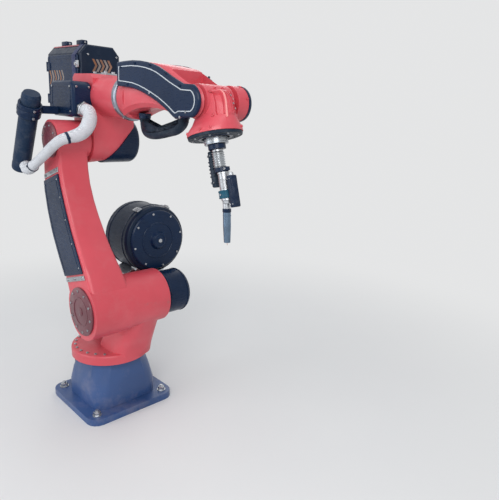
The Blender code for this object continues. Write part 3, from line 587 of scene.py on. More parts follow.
def edgesAt(node, height):
    # The least and most x of a node at a height in its body's frame.
    back = frames[bodyOf[node]].inverted()
    shape = mergedCopy(node)
    places = []
    for edge in shape.edges:
        first, second = (back @ vert.co for vert in edge.verts)
        if (first.z - height) * (second.z - height) <= 0 and first.z != second.z:
            share = (height - first.z) / (second.z - first.z)
            places.append(first.x + (second.x - first.x) * share)
    shape.free()
    return min(places), max(places)


def ribbon(name, slot, points, low, high, thickness, material):
    # A strap on the elbow along points of (y, z), low and high its edges in x.
    shape = bmesh.new()
    verts = [shape.verts.new((low, y, z)) for y, z in points]
    edges = [shape.edges.new(pair) for pair in zip(verts, verts[1:])]
    made = bmesh.ops.extrude_edge_only(shape, edges=edges)
    moved = [item for item in made["geom"] if isinstance(item, bmesh.types.BMVert)]
    bmesh.ops.translate(shape, vec=(high - low, 0, 0), verts=moved)
    faceOut(shape)
    bmesh.ops.solidify(shape, geom=shape.faces[:], thickness=thickness)
    faceOut(shape)
    finishPiece(name, shape, "elbow", slot, frames["elbow"], 40, material)


# Base: anchor bolts with washers, and the connectors' rings

baseLook = {
    "anchorReach": 0.142,
    "bolt": (0.0135, 0.011),   # radius and height of the head
    "plugSide": 0.0375,
    "plugPins": 7,
    "pinReach": 0.009,
    "panelSetback": 0.02,
    "screwInset": 0.009,
}


def dressBase():
    look = baseLook
    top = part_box("base_flange")[1][2]
    anchors = bmesh.new()
    washers = bmesh.new()
    for side, end in product((-1, 1), repeat=2):
        turn = Matrix.Rotation(side * 0.4 + end * 0.9, 4, "Z")
        place = shift(side * look["anchorReach"], end * look["anchorReach"], top) @ turn
        addPin(washers, place @ shift(0, 0, 0.001), 0.0175, 0.0028, 32, 0.0172)
        addScrew(anchors, place @ shift(0, 0, 0.0024), *look["bolt"], 6, 0)
        addPin(anchors, place @ shift(0, 0, look["bolt"][1] + 0.006), 0.007, 0.01, 20, 0.0062)
    finishPiece("anchor_washers", washers, "base")
    finishPiece("anchor_bolts", anchors, "base")
    low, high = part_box("connector_panel")
    pins = bmesh.new()
    for name, side in (("right", -1), ("left", 1)):
        place = spot(frames["base"], (low[0], side * look["plugSide"], (low[2] + high[2]) / 2), behind)
        addRing("connector_ring_" + name, "base", "bright_steel", place, 0.016, 0.0222, -0.007, 0.0016)
        for pin in circlePlaces(place, look["pinReach"], look["plugPins"]):
            addPin(pins, pin @ shift(0, 0, 0.0012), 0.0012, 0.003, 10, 0.0008)
    finishPiece("connector_pins", pins, "base")
    inset = look["screwInset"]
    points = product([low[0] + look["panelSetback"]], (low[1] + inset, 0, high[1] - inset),
                     (low[2] + inset, high[2] - inset))
    addScrews("connector_screws", "base", spots(frames["base"], behind, points), 0.0034, 0.0024)


dressBase()
print("base dressed")

# Turret: drum screws, drive covers, the spool's housing

turretLook = {
    "drumScrews": 24,
    "drumReach": 0.1345,
    "drumTop": 0.038,
    "searchTop": 0.3,                # height that the search for the casting starts from
    "screwSkirt": 0.007,              # flat room a drum screw needs round its middle
    "motorScrewInset": 0.016,
    "motorBands": (0.0165, 0.093),   # setbacks from the shoulder drive's end
    "motorDish": (0.034, 0.04),
    "spoolScrews": 8,
    "spoolLidRib": (0.066, 0.072),
    "spoolHubRing": (0.0225, 0.0275),
    "spoolBands": {"front": (0.046, 0.056), "rear": (-0.056, -0.046)},
    "latchAngles": (118, 62, 236),
}


def drumClear(x, y):
    # Whether a screw's head on the drum stands free of the casting and the drive's cover.
    skirt = turretLook["screwSkirt"]
    for node in ("turret_casting", "base_motor_cover"):
        for aside, onward in ((skirt, 0), (-skirt, 0), (0, skirt), (0, -skirt)):
            hit = landOn(node, (x + aside, y + onward, turretLook["searchTop"]), down)
            if hit and hit[0].z >= turretLook["drumTop"] + 0.001:
                return False
    return True


def dressTurret():
    look = turretLook
    points = []
    for index in range(look["drumScrews"]):
        angle = math.tau * (index + 0.5) / look["drumScrews"]
        x = look["drumReach"] * math.cos(angle)
        y = look["drumReach"] * math.sin(angle)
        if drumClear(x, y):
            points.append((x, y, look["drumTop"]))
    addScrews("drum_screws", "turret", spots(frames["turret"], up, points), 0.0052, 0.0045)
    # The turning drive's cover: a rim line and four screws.
    addTrim("base_motor_trim", "base_motor_cover", up, 0.014, 0.0016, 0.001)
    low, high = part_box("base_motor_cover")
    inset = look["motorScrewInset"]
    places = [shift(x, y, high[2]) for x, y in product(
        (low[0] + inset, high[0] - inset), (low[1] + inset, high[1] - inset))]
    addScrews("base_motor_screws", "turret", places, 0.0038, 0.003)
    # The shoulder drive's cover: bands round it, a shallow dish and screws on its end.
    low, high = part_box("shoulder_motor_cover")
    radius = (high[0] - low[0]) / 2
    middle = middleOf(low, high)
    end = spot(frames["base"], (middle[0], high[1], middle[2]), far)
    for index, setback in enumerate(look["motorBands"]):
        addRing("shoulder_motor_band_%d" % (index + 1), "turret", "cover_black", end, radius - 0.002,
                radius + 0.0016, -setback - 0.004, -setback, 0.0012)
    addRing("shoulder_motor_dish", "turret", "cover_black", end, *look["motorDish"], -0.001, 0.0016)
    addScrews("shoulder_motor_screws", "turret", circlePlaces(end, 0.056, 6, 30), 0.004, 0.0032)
    # The spool's housing: lid screws, ribs, a hub cap, two bands and latches.
    low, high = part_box("spool_lid")
    lid = spot(frames["base"], (low[0] + 0.01, *middleOf(low, high)[1:]), ahead)
    addScrews("spool_lid_screws", "turret", circlePlaces(lid, 0.106, look["spoolScrews"], 11), 0.0042, 0.003)
    addRing("spool_lid_rib", "turret", "cover_black", lid, *look["spoolLidRib"], -0.0005, 0.0022, 0.0014)
    addRing("spool_hub_ring", "turret", "cover_black", lid, *look["spoolHubRing"], 0.011, 0.014)
    addScrews("spool_hub_screw", "turret", [lid @ shift(0, 0, 0.0122)], 0.0085, 0.005, 6, 0)
    low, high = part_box("spool_housing")
    radius = (high[2] - low[2]) / 2
    drum = spot(frames["base"], middleOf(low, high), ahead)
    for name, ends in look["spoolBands"].items():
        addRing("spool_band_" + name, "turret", "feeder_black", drum, radius - 0.003, radius + 0.002,
                *ends, 0.0015)
    latches = bmesh.new()
    for angle in look["latchAngles"]:
        turn = drum @ turnBy(angle, "Z")
        addBox(latches, turn, (radius - 0.001, -0.011, 0.036), (radius + 0.006, 0.011, 0.074), 0.002)
        addBox(latches, turn, (radius + 0.004, -0.006, 0.052), (radius + 0.01, 0.006, 0.07), 0.002)
    finishPiece("spool_latches", latches, "turret")


dressTurret()
print("turret dressed")

# Lower arm: caps, long cover and straps

armLook = {
    "face": -0.1873,
    # For the cap at each end: height up the arm, rib, plug's profile, circle of screws, a screw's size.
    "caps": {
        "hip_cover": (
            0, (0.046, 0.052),
            ((0, -0.0005), (0.016, -0.0005), (0.016, 0.0014), (0.0145, 0.0024), (0, 0.003)),
            (0.0735, 10, 9), (0.0042, 0.0028)),
        "knee_cap": (
            armLine.length, (0.03, 0.0345),
            ((0, -0.0005), (0.01, -0.0005), (0.01, 0.0014), (0.009, 0.0022), (0, 0.0026)),
            (0.0495, 8, 12), (0.0034, 0.0024)),
    },
    "coverScrewHeights": (0.15, 0.235, 0.32, 0.4, 0.462),
    "coverScrewInset": 0.0075,
    "strapScrewShares": (0.1, 0.5, 0.9),
}


def dressLowerArm():
    look = armLook
    home = frames["lower_arm"]
    face = look["face"]
    for name, (height, rib, plug, _, _) in look["caps"].items():
        cap = spot(home, (0, face, height), near)
        addRing(name + "_rib", "lower_arm", "cap_red", cap, *rib, -0.0005, 0.0016)
        addTurned(name.split("_")[0] + "_plug", "lower_arm", "cap_red", plug, cap)
    for name, (height, _, _, circle, screw) in look["caps"].items():
        cap = spot(home, (0, face, height), near)
        addScrews(name + "_screws", "lower_arm", circlePlaces(cap, *circle), *screw)
    addTrim("lower_arm_cover_trim", "lower_arm_cover", near, 0.012, 0.0016, 0.0009)
    points = []
    inset = look["coverScrewInset"]
    for height in look["coverScrewHeights"]:
        left, right = edgesAt("lower_arm_cover", height)
        points += [(left + inset, face, height), (right - inset, face, height)]
    addScrews("lower_arm_cover_screws", "lower_arm", spots(home, near, points), 0.003, 0.0016)
    points = []
    for node in ("cover_strap_lower", "cover_strap_upper"):
        low, high = cornersOf(node)
        height = (low.z + high.z) / 2
        left, right = edgesAt(node, height)
        points += [(left + (right - left) * share, low.y, height) for share in look["strapScrewShares"]]
    addScrews("strap_screws", "lower_arm", spots(home, near, points), 0.0042, 0.003)


dressLowerArm()
print("lower arm dressed")

# Elbow: side cover, knee drive, conduit and its clamp

elbowLook = {
    "sideFace": -0.1303,
    "coverFront": 0.074,
    "coverScrewX": (-0.086, 0.055),
    "coverScrewZ": (0.099, 0.179),
    "frontScrewY": (-0.117, -0.072),
    # Corners of the bright strip under the side cover, a painted highlight of its lit bottom edge.
    "seat": ((-0.09, -0.124, 0.0793), (0.062, -0.0555, 0.083)),
    "bracketTop": 0.2323,
    "bracketX": (-0.048, 0.03),
    "bracketY": (0.014, 0.044),
    "motorFace": 0.124,
    "motorDish": (0.03, 0.035),
    "ringCentre": (0.235, 0, 0.154),
    "ringScrewAngles": (-62, -28, 28, 62, 118, 152, 208, 242),
    "glandNut": (0.0742, -0.094, 0.106),
}


def dressElbow():
    look = elbowLook
    home = frames["elbow"]
    addTrim("side_cover_trim", "elbow_side_cover", near, 0.01, 0.0018, 0.001)
    places = spots(home, near, product(look["coverScrewX"], [look["sideFace"]], look["coverScrewZ"]))
    places += spots(home, ahead, product([look["coverFront"]], look["frontScrewY"], [0.18]))
    addScrews("side_cover_screws", "elbow", places, 0.0036, 0.0026)
    # A thin bright steel plate under the cover: a painted highlight standing in for the cover's lit bottom edge.
    addBoxes("side_cover_seat", "elbow", "bright_steel", 0.0003, [look["seat"]])
    points = product(look["bracketX"], look["bracketY"], [look["bracketTop"]])
    addScrews("bracket_bolts", "elbow", spots(home, up, points), 0.0062, 0.0058, 12, 0.5)
    # The knee drive's cover: a dish, and screws where its end is flat.
    face = look["motorFace"]
    end = spot(home, (0, face, 0), far)
    addRing("knee_motor_dish", "elbow", "cover_black", end, *look["motorDish"], -0.001, 0.0014)
    places = []
    for place in circlePlaces(end, 0.05, 6, 30):
        centre = home.inverted() @ place.translation
        hit = landOn("knee_motor_cover", centre + Vector((0, 0.05, 0)), near)
        if hit and abs(hit[0].y - face) < 0.001:
            places.append(place)
    addScrews("knee_motor_screws", "elbow", places, 0.004, 0.003)
    # The ring's own grub screws, and the gland's nut on the side cover.
    places = landRound("elbow_ring", look["ringCentre"], 0.12, look["ringScrewAngles"], up, far)
    addScrews("ring_screws", "elbow", places, 0.0032, 0.0014)
    addScrews("hose_gland_nut", "elbow", [spot(home, look["glandNut"], ahead)], 0.0272, 0.008, 6, 0)


# The conduit: its ends on the elbow, ribs and cuffs by their distance from the lower end.
conduitLook = {
    "top": (-0.022, -0.226, 0.15),
    "bottom": (-0.165, -0.226, -0.112),
    "ribs": 19,
    "ribsFrom": 0.034,
    "grip": 0.8,   # share of the length where the clamp sits
    "inner": 0.03,
    "shoulder": 0.0309,
    "outer": 0.0315,
}


def dressConduit():
    look = conduitLook
    inner, shoulder, outer = (look[name] for name in ("inner", "shoulder", "outer"))
    bottom = frames["elbow"] @ Vector(look["bottom"])
    along = frames["elbow"] @ Vector(look["top"]) - bottom
    place = Matrix.Translation(bottom) @ facingTurn(along)
    grip = along.length * look["grip"]
    start = look["ribsFrom"]
    pitch = (grip - 0.026 - start) / look["ribs"]
    profile = [(inner, start - 0.001)]
    for rib in range(look["ribs"]):
        base = start + rib * pitch
        profile += [(shoulder, base), (0.0313, base + pitch * 0.25), (outer, base + pitch * 0.5),
                    (0.0313, base + pitch * 0.75), (shoulder, base + pitch)]
    profile.append((inner, start + look["ribs"] * pitch + 0.001))
    addTurned("conduit_ribs", "elbow", "hose_black", profile, place, 40, True, 60, conduitBlue)
    for name, low, high in (("lower", -0.004, 0.026), ("upper", along.length - 0.036, along.length - 0.012)):
        profile = [(inner, low), (shoulder, low + 0.002), (outer, low + 0.006), (outer, high - 0.006),
                   (shoulder, high - 0.002), (inner, high)]
        addTurned("conduit_cuff_" + name, "elbow", "hose_black", profile, place, 48, True, 50, conduitBlue)
    addRing("conduit_clamp_band", "elbow", "cover_black", place, 0.0385, 0.0402,
            grip - 0.006, grip + 0.006, 0.0006)
    places = [place @ shift(0, 0, grip + offset) @ turnBy(90, "X") @ shift(0, 0, 0.0386)
              for offset in (-0.0135, 0.0135)]
    addScrews("conduit_clamp_bolts", "elbow", places, 0.0045, 0.004)


def smoothLine(points, steps):
    # A smooth curve through points, the ends kept.
    line = []
    for index in range(len(points) - 1):
        before = points[max(index - 1, 0)]
        start = points[index]
        end = points[index + 1]
        after = points[min(index + 2, len(points) - 1)]
        pull = (end - before) / 2
        push = (after - start) / 2
        for step in range(steps):
            share = step / steps
            line.append(
                start * (2 * share ** 3 - 3 * share ** 2 + 1) + pull * (share ** 3 - 2 * share ** 2 + share)
                + end * (3 * share ** 2 - 2 * share ** 3) + push * (share ** 3 - share ** 2))
    line.append(points[-1])
    return line


# The wrapped hose: its route on the elbow, and how much fatter it is along it.
wrappedHose = {
    "radius": 0.019,
    "lead": 0.005,
    "gland": (0.0906, -0.094, 0.106),
    "route": (
        (0.118, -0.0945, 0.0985), (0.1262, -0.097, 0.08), (0.127, -0.105, 0.058),
        (0.126, -0.119, 0.039), (0.1245, -0.14, 0.026), (0.121, -0.168, 0.018),
        (0.114, -0.195, 0.008), (0.099, -0.2135, -0.011), (0.066, -0.2195, -0.033),
        (0.02, -0.22, -0.056), (-0.03, -0.221, -0.08), (-0.076, -0.224, -0.104)),
    "endUp": 0.031,      # where it meets the conduit, along it and out from its middle
    "endOut": 0.0313,
    "swellShares": ((0.0, 1.0), (0.05, 1.12), (0.14, 1.22), (0.26, 1.14), (0.34, 0.96), (0.44, 0.86),
                    (0.8, 0.84), (0.86, 1.02), (0.955, 1.08), (0.975, 1.0), (1.0, 1.0)),
    "stepsPerPoint": 14,
    "sides": 10,
    "wrapPitch": 0.0085,
    "wrapHeight": 0.0009,
    "wrapSunk": 0.0004,
    "ties": (0.335, 0.345, 0.845),
}


def shareOf(table, place):
    for (low, first), (high, second) in zip(table, table[1:]):
        if place <= high:
            blend = (place - low) / (high - low)
            blend = blend * blend * (3 - 2 * blend)
            return first + (second - first) * blend
    return table[-1][1]


def hoseMesh(name, line, radii, sides):
    # A tube along a line, its radius given at each point.
    curve = bpy.data.curves.new(name, "CURVE")
    curve.dimensions = "3D"
    curve.bevel_depth = 1.0
    curve.bevel_resolution = sides
    curve.use_fill_caps = True
    spline = curve.splines.new("POLY")
    spline.points.add(len(line) - 1)
    for point, place, radius in zip(spline.points, line, radii):
        point.co = (*place, 1)
        point.radius = radius
    holder = bpy.data.objects.new(name + "_line", curve)
    scene.collection.objects.link(holder)
    mesh = bpy.data.meshes.new_from_object(holder)
    bpy.data.objects.remove(holder)
    shape = bmesh.new()
    shape.from_mesh(mesh)
    bmesh.ops.remove_doubles(shape, verts=shape.verts, dist=0.00001)
    faceOut(shape)
    return shape


def hoseLine():
    # The route in the world, from the gland to the foot of the conduit.
    look = wrappedHose
    bottom = Vector(conduitLook["bottom"])
    along = Vector(conduitLook["top"]) - bottom
    outward = Vector((along.z, 0, -along.x)).normalized()
    end = bottom + along.normalized() * look["endUp"] + outward * look["endOut"]
    points = [Vector(look["gland"]) + Vector((look["lead"] * step, 0, 0)) for step in range(3)]
    points += [Vector(point) for point in look["route"]]
    points += [end + outward * look["lead"] * step for step in (4, 2, 0)]
    return smoothLine(points, look["stepsPerPoint"])


def wrapTurns(shape, line, reaches):
    # The wrap's turns stand a little proud, one spiral along the whole hose.
    tree = KDTree(len(line))
    for index, place in enumerate(line):
        tree.insert(place, index)
    tree.balance()
    for vert in shape.verts:
        index = tree.find(vert.co)[1]
        onward = (line[min(index + 1, len(line) - 1)] - line[max(index - 1, 0)]).normalized()
        offset = vert.co - line[index]
        offset -= onward * offset.dot(onward)
        if offset.length < 0.004:
            continue
        level = Vector(up).cross(onward).normalized()
        angle = math.atan2(offset.dot(level), offset.dot(onward.cross(level)))
        phase = reaches[index] / wrappedHose["wrapPitch"] + angle / math.tau
        ridge = abs((phase % 1.0) - 0.5) * 2
        vert.co += offset.normalized() * (
            wrappedHose["wrapHeight"] * (1 - ridge ** 3) - wrappedHose["wrapSunk"])


def dressWrappedHose():
    look = wrappedHose
    line = hoseLine()
    reaches = [0.0]
    for first, second in zip(line, line[1:]):
        reaches.append(reaches[-1] + (second - first).length)
    total = reaches[-1]
    radii = [look["radius"] * shareOf(look["swellShares"], reach / total) for reach in reaches]
    line = [frames["elbow"] @ point for point in line]
    shape = hoseMesh("wrapped_hose_skin", line, radii, look["sides"])
    wrapTurns(shape, line, reaches)
    piece = finishPiece("wrapped_hose_skin", shape, "elbow", "hose_wrap", sharp=60)
    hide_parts("wrapped_hose")
    # Ties round it, each with its lock.
    ties = bmesh.new()
    for share in look["ties"]:
        index = min(range(len(reaches)), key=lambda number: abs(reaches[number] - share * total))
        onward = (line[index + 1] - line[index - 1]).normalized()
        place = Matrix.Translation(line[index]) @ facingTurn(onward)
        radius = radii[index]
        band = turned([(radius - 0.002, -0.0022), (radius + 0.0014, -0.0022), (radius + 0.0014, 0.0022),
                       (radius - 0.002, 0.0022)], 40, closed=True)
        bmesh.ops.transform(band, matrix=place, verts=band.verts)
        mesh = bpy.data.meshes.new("band")
        band.to_mesh(mesh)
        band.free()
        ties.from_mesh(mesh)
        bpy.data.meshes.remove(mesh)
        addBox(ties, place, (radius, -0.0035, -0.003), (radius + 0.0042, 0.0035, 0.003), 0.0008)
    finishPiece("wrapped_hose_ties", ties, "elbow", "cover_black")


dressElbow()
dressConduit()
dressWrappedHose()
print("elbow dressed")

# Wire feeder: door furniture, roof strap, a painted highlight along the roof's top edge, louvres and a plain
# painted pattern

feederLook = {
    "door": -0.0293,
    "front": -0.0836,
    "back": -0.3696,
    "left": 0.135,
    "orange": ((0.3, 0.14, 0.07), (0.22, 0.09, 0.04), (0.1, 0.09, 0.09), 0.45, 0.0, 0.35),
    "pale": ((0.28, 0.24, 0.22), (0.22, 0.18, 0.16), (0.1, 0.09, 0.09), 0.45, 0.0, 0.35),
    "strapBlue": ((0.03, 0.04, 0.115), (0.02, 0.026, 0.075), 0.4),
    # Pinkish red paint for the roof's top edge: a painted highlight.
    "roofPaintedHighlight": ((0.46, 0.13, 0.15), (0.34, 0.09, 0.11), (0.1, 0.06, 0.06), 0.45, 0.0, 0.3),
    "strokeSlant": 0.55,
    "strokeThickness": 0.0004,
    "strokeOffset": {"door": 0.022, "front": 0.015},   # from the orange strokes to the pale ones
    "doorStrokes": (0.044, 0.052, 0.01),    # pitch, height and width
    "frontStrokes": (0.03, 0.044, 0.009),
    "strap": ((0.017, 0.3334), (0.005, 0.3334), (0.001, 0.3318), (-0.0225, 0.3052), (-0.0245, 0.301),
              (-0.0318, 0.293), (-0.0318, 0.15)),
    "roofHighlightLine": ((0.0042, 0.333), (0.0006, 0.3318), (-0.003, 0.328)),
    "hingeHeights": (0.135, 0.255),
    "latchHeights": (0.128, 0.262),
    "louvres": 6,
    "louvreTilt": -28,
    "louvreFrom": 0.145,
    "louvrePitch": 0.016,
    "catchX": (-0.1556, -0.2836),
    "catchPin": (0.0034, 0.052),   # radius and length
}


def strokes(shape, place, count, sizes):
    # A row of arrow strokes along the place's X, standing on its XY plane.
    pitch, height, width = sizes
    for index, side in product(range(count), (-1, 1)):
        slant = Matrix()
        slant[0][1] = -side * feederLook["strokeSlant"]
        addBox(shape, place @ shift(index * pitch, 0, 0) @ slant,
               (-width / 2, 0 if side > 0 else -height / 2, -0.0002),
               (width / 2, height / 2 if side > 0 else 0, feederLook["strokeThickness"]), 0)


def dressFeeder():
    look = feederLook
    home = frames["elbow"]
    door = look["door"]
    orange = makePaint("printOrange", *look["orange"])
    pale = makePaint("printPale", *look["pale"])
    addTrim("feeder_door_trim", "feeder_door", near, 0.011, 0.0018, 0.0012)
    # Plain pattern on the door: arrow strokes in a row over two pinstripes.
    first = bmesh.new()
    second = bmesh.new()
    place = home @ shift(-0.325, door, 0.215) @ turnBy(90, "X")
    strokes(first, place, 3, look["doorStrokes"])
    strokes(second, place @ shift(look["strokeOffset"]["door"], 0, 0), 3, look["doorStrokes"])
    for shape, right, low, high in ((first, -0.15, 0.166, 0.172), (second, -0.19, 0.154, 0.158)):
        addBox(shape, home, (-0.335, door - look["strokeThickness"], low), (right, door + 0.0002, high), 0)
    # On the front, arrow strokes pointing up.
    place = home @ shift(look["front"], 0.038, 0.262) @ turnBy(90, "Z") @ turnBy(90, "X")
    strokes(first, place, 3, look["frontStrokes"])
    strokes(second, place @ shift(look["strokeOffset"]["front"], 0, 0), 2, look["frontStrokes"])
    for name, shape, material in (("orange", first, orange), ("pale", second, pale)):
        faceOut(shape)
        finishPiece("feeder_print_" + name, shape, "elbow", "feeder_black", material=material, smooth=False)
    # Strap from the front catch over the roof's slant and down the near edge.
    ribbon("feeder_strap", "cover_black", look["strap"], -0.138, -0.108, 0.0022,
           makePlastic("strapBlue", *look["strapBlue"]))
    # A pinkish red line along the roof's top edge: a painted highlight where the edge catches the light.
    ribbon("feeder_roof_highlight", "arm_red", look["roofHighlightLine"], -0.356, -0.142, 0.0012,
           makePaint("roofPaintedHighlight", *look["roofPaintedHighlight"]))
    # Hinges behind, latches in front.
    shape = bmesh.new()
    for height in look["hingeHeights"]:
        addPin(shape, home @ shift(-0.36, door + 0.001, height), 0.0055, 0.036, 24)
        addBox(shape, home, (-0.358, door - 0.0026, height - 0.014),
               (-0.332, door + 0.001, height + 0.014), 0.0008)
    finishPiece("feeder_hinges", shape, "elbow", "cover_black")
    boxes = []
    for height in look["latchHeights"]:
        boxes += [((-0.101, door - 0.006, height - 0.012), (-0.085, door + 0.001, height + 0.012)),
                  ((-0.104, door - 0.01, height - 0.006), (-0.094, door - 0.003, height + 0.006))]
    addBoxes("feeder_latches", "elbow", "bright_steel", 0.0014, boxes)
    # Louvres on the back, screws on three sides.
    shape = bmesh.new()
    for index in range(look["louvres"]):
        height = look["louvreFrom"] + index * look["louvrePitch"]
        place = home @ shift(look["back"], 0.056, height) @ turnBy(look["louvreTilt"], "Y")
        addBox(shape, place, (-0.0042, -0.045, -0.0042), (0.001, 0.045, 0.0042), 0.001)
    finishPiece("feeder_louvres", shape, "elbow", "feeder_black")
    places = spots(home, behind, product([look["back"]], (-0.008, 0.12), (0.094, 0.285)))
    places += spots(home, ahead, product([look["front"]], (0.006, 0.12), [0.298]))
    places += spots(home, ahead, product([look["front"]], [0.12], (0.11, 0.2)))
    places += spots(home, far, product((-0.35, -0.226, -0.103), [look["left"]], (0.098, 0.286)))
    addScrews("feeder_screws", "elbow", places, 0.0036, 0.0024)
    # A pin across each catch.
    shape = bmesh.new()
    for middle in look["catchX"]:
        addPin(shape, home @ shift(middle, 0.0196, 0.3425) @ turnBy(90, "Y"), *look["catchPin"], 20)
    finishPiece("feeder_catch_pins", shape, "elbow")


dressFeeder()
print("feeder dressed")

# Forearm: cover trim painted pale as a highlight, screws, wrist end, glands and the hose loop

forearmLook = {
    "coverFace": 0.0753,
    # The trim's pale colour is a painted highlight of the lit edge on each cover.
    "trimPaintedHighlight": ((0.58, 0.63, 0.68), (0.52, 0.55, 0.58), 0.34),
    "brightScrews": ((0.452, 0.016), (0.6266, -0.0285), (0.6005, -0.043)),
    "darkScrews": ((0.292, 0.088), (0.372, 0.0975), (0.452, 0.0915), (0.53, 0.07), (0.596, 0.037),
                   (0.33, 0.038)),
    "farScrews": 4,   # how many of the dark screws the far cover has too
    "housingEnd": 0.1083,
    "endRim": ((0.04, -0.001), (0.04, 0.0016), (0.041, 0.0024), (0.0452, 0.0024), (0.0484, 0.0006),
               (0.0496, -0.003), (0.0496, -0.0085), (0.0478, -0.0092), (0.046, -0.008)),
    "endPlate": ((0, -0.0005), (0.0392, -0.0005), (0.0392, 0.0004), (0.0384, 0.0012), (0.024, 0.0012),
                 (0.0225, 0.0022), (0, 0.0026)),
    "sideScrewAngles": (20, 75, 130),
    "cuffRibs": 3,
    "cuffPitch": 0.0038,
    "cuffRadius": 0.0172,
    "cuffTaper": 0.0006,   # how much slimmer each rib is than the one before
    "hoseSwell": 0.0006,
}


def dressForearm():
    look = forearmLook
    home = frames["forearm"]
    face = look["coverFace"]
    # Raised trim on both covers in pale plastic: a painted highlight standing in for the lit edge of the covers'
    # step.
    pale = makePlastic("trimPaintedHighlight", *look["trimPaintedHighlight"], coat=0.3)
    for side, facing in (("right", near), ("left", far)):
        addTrim("forearm_highlight_trim_" + side, "forearm_cover_" + side, facing, 0.0105, 0.0026, 0.0012, pale)
    places = spots(home, near, [(x, -face, z) for x, z in look["brightScrews"]])
    addScrews("forearm_cover_screws_bright", "forearm", places, 0.0036, 0.0028)
    places = spots(home, near, [(x, -face, z) for x, z in look["darkScrews"]])
    places += spots(home, far, [(x, face, z) for x, z in look["darkScrews"][:look["farScrews"]]])
    addScrews("forearm_cover_screws_dark", "forearm", places, 0.0038, 0.0026, slot="cover_black")
    # The wrist end's dark rim, its end plate and screws.
    centre = home.inverted() @ jointPlaces["wrist_bend"]
    end = spot(home, (centre.x, look["housingEnd"], centre.z), far)
    addTurned("wrist_end_rim", "forearm", "cover_black", look["endRim"], end, 64, closed=True, sharp=50)
    addTurned("wrist_end_plate", "forearm", "arm_red", look["endPlate"], end, 64)
    places = [end @ turnBy(60 * index, "Z") @ shift(0.0325, 0, 0.0011) for index in range(6)]
    addScrews("wrist_end_screws", "forearm", places, 0.0034, 0.0024)
    places = landRound(
        "wrist_end_housing", (centre.x, 0.094, centre.z), 0.09, look["sideScrewAngles"], ahead, up)
    addScrews("wrist_end_side_screws", "forearm", places, 0.0042, 0.0022, slot="arm_red")
    # Nuts under the loop's glands, and ribbed cuffs at the loop's ends.
    glands = {name: cornersOf("loop_gland_" + name) for name in ("rear", "front")}
    places = [spot(home, ((low.x + high.x) / 2, 0, high.z + 0.0006), down) for low, high in glands.values()]
    addScrews("loop_gland_nuts", "forearm", places, 0.0218, 0.0062, 6, 0, slot="cover_black")
    dressLoop()
    profile = [(0.014, 0.0)]
    for rib in range(look["cuffRibs"]):
        base = rib * look["cuffPitch"]
        radius = look["cuffRadius"] - rib * look["cuffTaper"]
        profile += [(radius, base), (radius, base + 0.0022), (0.0158, base + 0.0026), (0.0158, base + 0.0036)]
    profile.append((0.014, 0.0118))
    for name, (low, high) in glands.items():
        place = spot(home, ((low.x + high.x) / 2, 0, low.z + 0.0004), down)
        addTurned("loop_cuff_" + name, "forearm", "hose_black", profile, place, 40, closed=True)


def dressLoop():
    # The CAD's loop, its facets rounded off and its two flat ends kept sharp.
    shape = mergedCopy("forearm_hose", 0.05)
    caps = [face for face in shape.faces if len(face.verts) > 4]
    capVerts = {vert for face in caps for vert in face.verts}
    moves = [(vert, vert.normal.copy()) for vert in shape.verts if vert not in capVerts]
    for vert, normal in moves:
        vert.co += normal * forearmLook["hoseSwell"]
    crease = shape.edges.layers.float.new("crease_edge")
    for face in shape.faces:
        if len(face.verts) > 4:
            for edge in face.edges:
                edge[crease] = 1.0
    piece = finishPiece("forearm_hose_skin", shape, "forearm", "hose_black", sharp=80)
    step = piece.modifiers.new("round", "SUBSURF")
    step.levels = 2
    step.render_levels = 2
    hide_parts("forearm_hose")


dressForearm()
print("forearm dressed")

# Wrist: the casting's front recess with its ridge, ribbed pad and screws

wristLook = {
    # The recess's corners as (y, z), round it in order.
    "recess": ((-0.03, 0.015), (-0.0345, -0.05), (-0.018, -0.05), (-0.0095, 0.015)),
    "recessDepth": 0.0095,
    "recessSlope": 0.0022,   # how far the recess's walls lean in
    "frontFrom": 0.02,       # x where the casting's front begins
    # Raised plates: corners, lift, thickness, columns, rows, edge.
    "ridge": (((-0.0172, -0.058), (-0.0135, -0.058), (-0.005, 0.021), (-0.0085, 0.021)),
              -0.001, 0.0046, 2, 12, 0.0012),
    "pad": (((-0.0085, -0.05), (0.03, -0.05), (0.03, 0.0175), (0.0005, 0.0175)),
            -0.0012, 0.0026, 6, 10, 0.0008),
    "ribs": 4,
    "ribFrom": -0.003,
    "ribPitch": 0.0078,
    "padScrews": ((0.0135, 0.0000), (0.0235, -0.007), (0.014, -0.0215), (0.024, -0.033)),
    "frontScrews": ((-0.01, 0.025), (-0.0356, 0.015), (0.0165, 0.026), (0.035, 0.015),
                    (-0.04, -0.048), (0.038, -0.048)),
    "bellRim": (-0.079, 0.13),   # height of the lugs, and where the search for the rim starts
    "bellAngles": (-70, -48, 30, 62, 118, 150, 210, 242),
}


def wristPoint(y, z, lift=0.0):
    point, normal = landOn("wrist_casting", (0.2, y, z), behind)
    return point + normal * lift, normal


def layPatch(name, corners, lift, thickness, columns, rows, edge, material=None):
    # A plate that follows the wrist's front: corners as (y, z), low left, low right, top right, top left.
    shape = bmesh.new()
    bmesh.ops.create_grid(shape, x_segments=columns, y_segments=rows, size=0.5)
    lowLeft, lowRight, topRight, topLeft = (Vector(corner) for corner in corners)
    for vert in shape.verts:
        across = vert.co.x + 0.5
        place = lowLeft.lerp(lowRight, across).lerp(topLeft.lerp(topRight, across), vert.co.y + 0.5)
        vert.co = wristPoint(place.x, place.y, lift)[0]
    faceOut(shape)
    if sum(face.normal.x for face in shape.faces) < 0:
        bmesh.ops.reverse_faces(shape, faces=shape.faces)
    liftCopy(shape, (thickness, 0, 0))
    faceOut(shape)
    addBevel(finishPiece(name, shape, "wrist", "arm_red", frames["wrist"], 40, material), edge, 2, 50)


def frontFaces(shape):
    return [face for face in shape.faces if face.calc_center_median().x > wristLook["frontFrom"]]


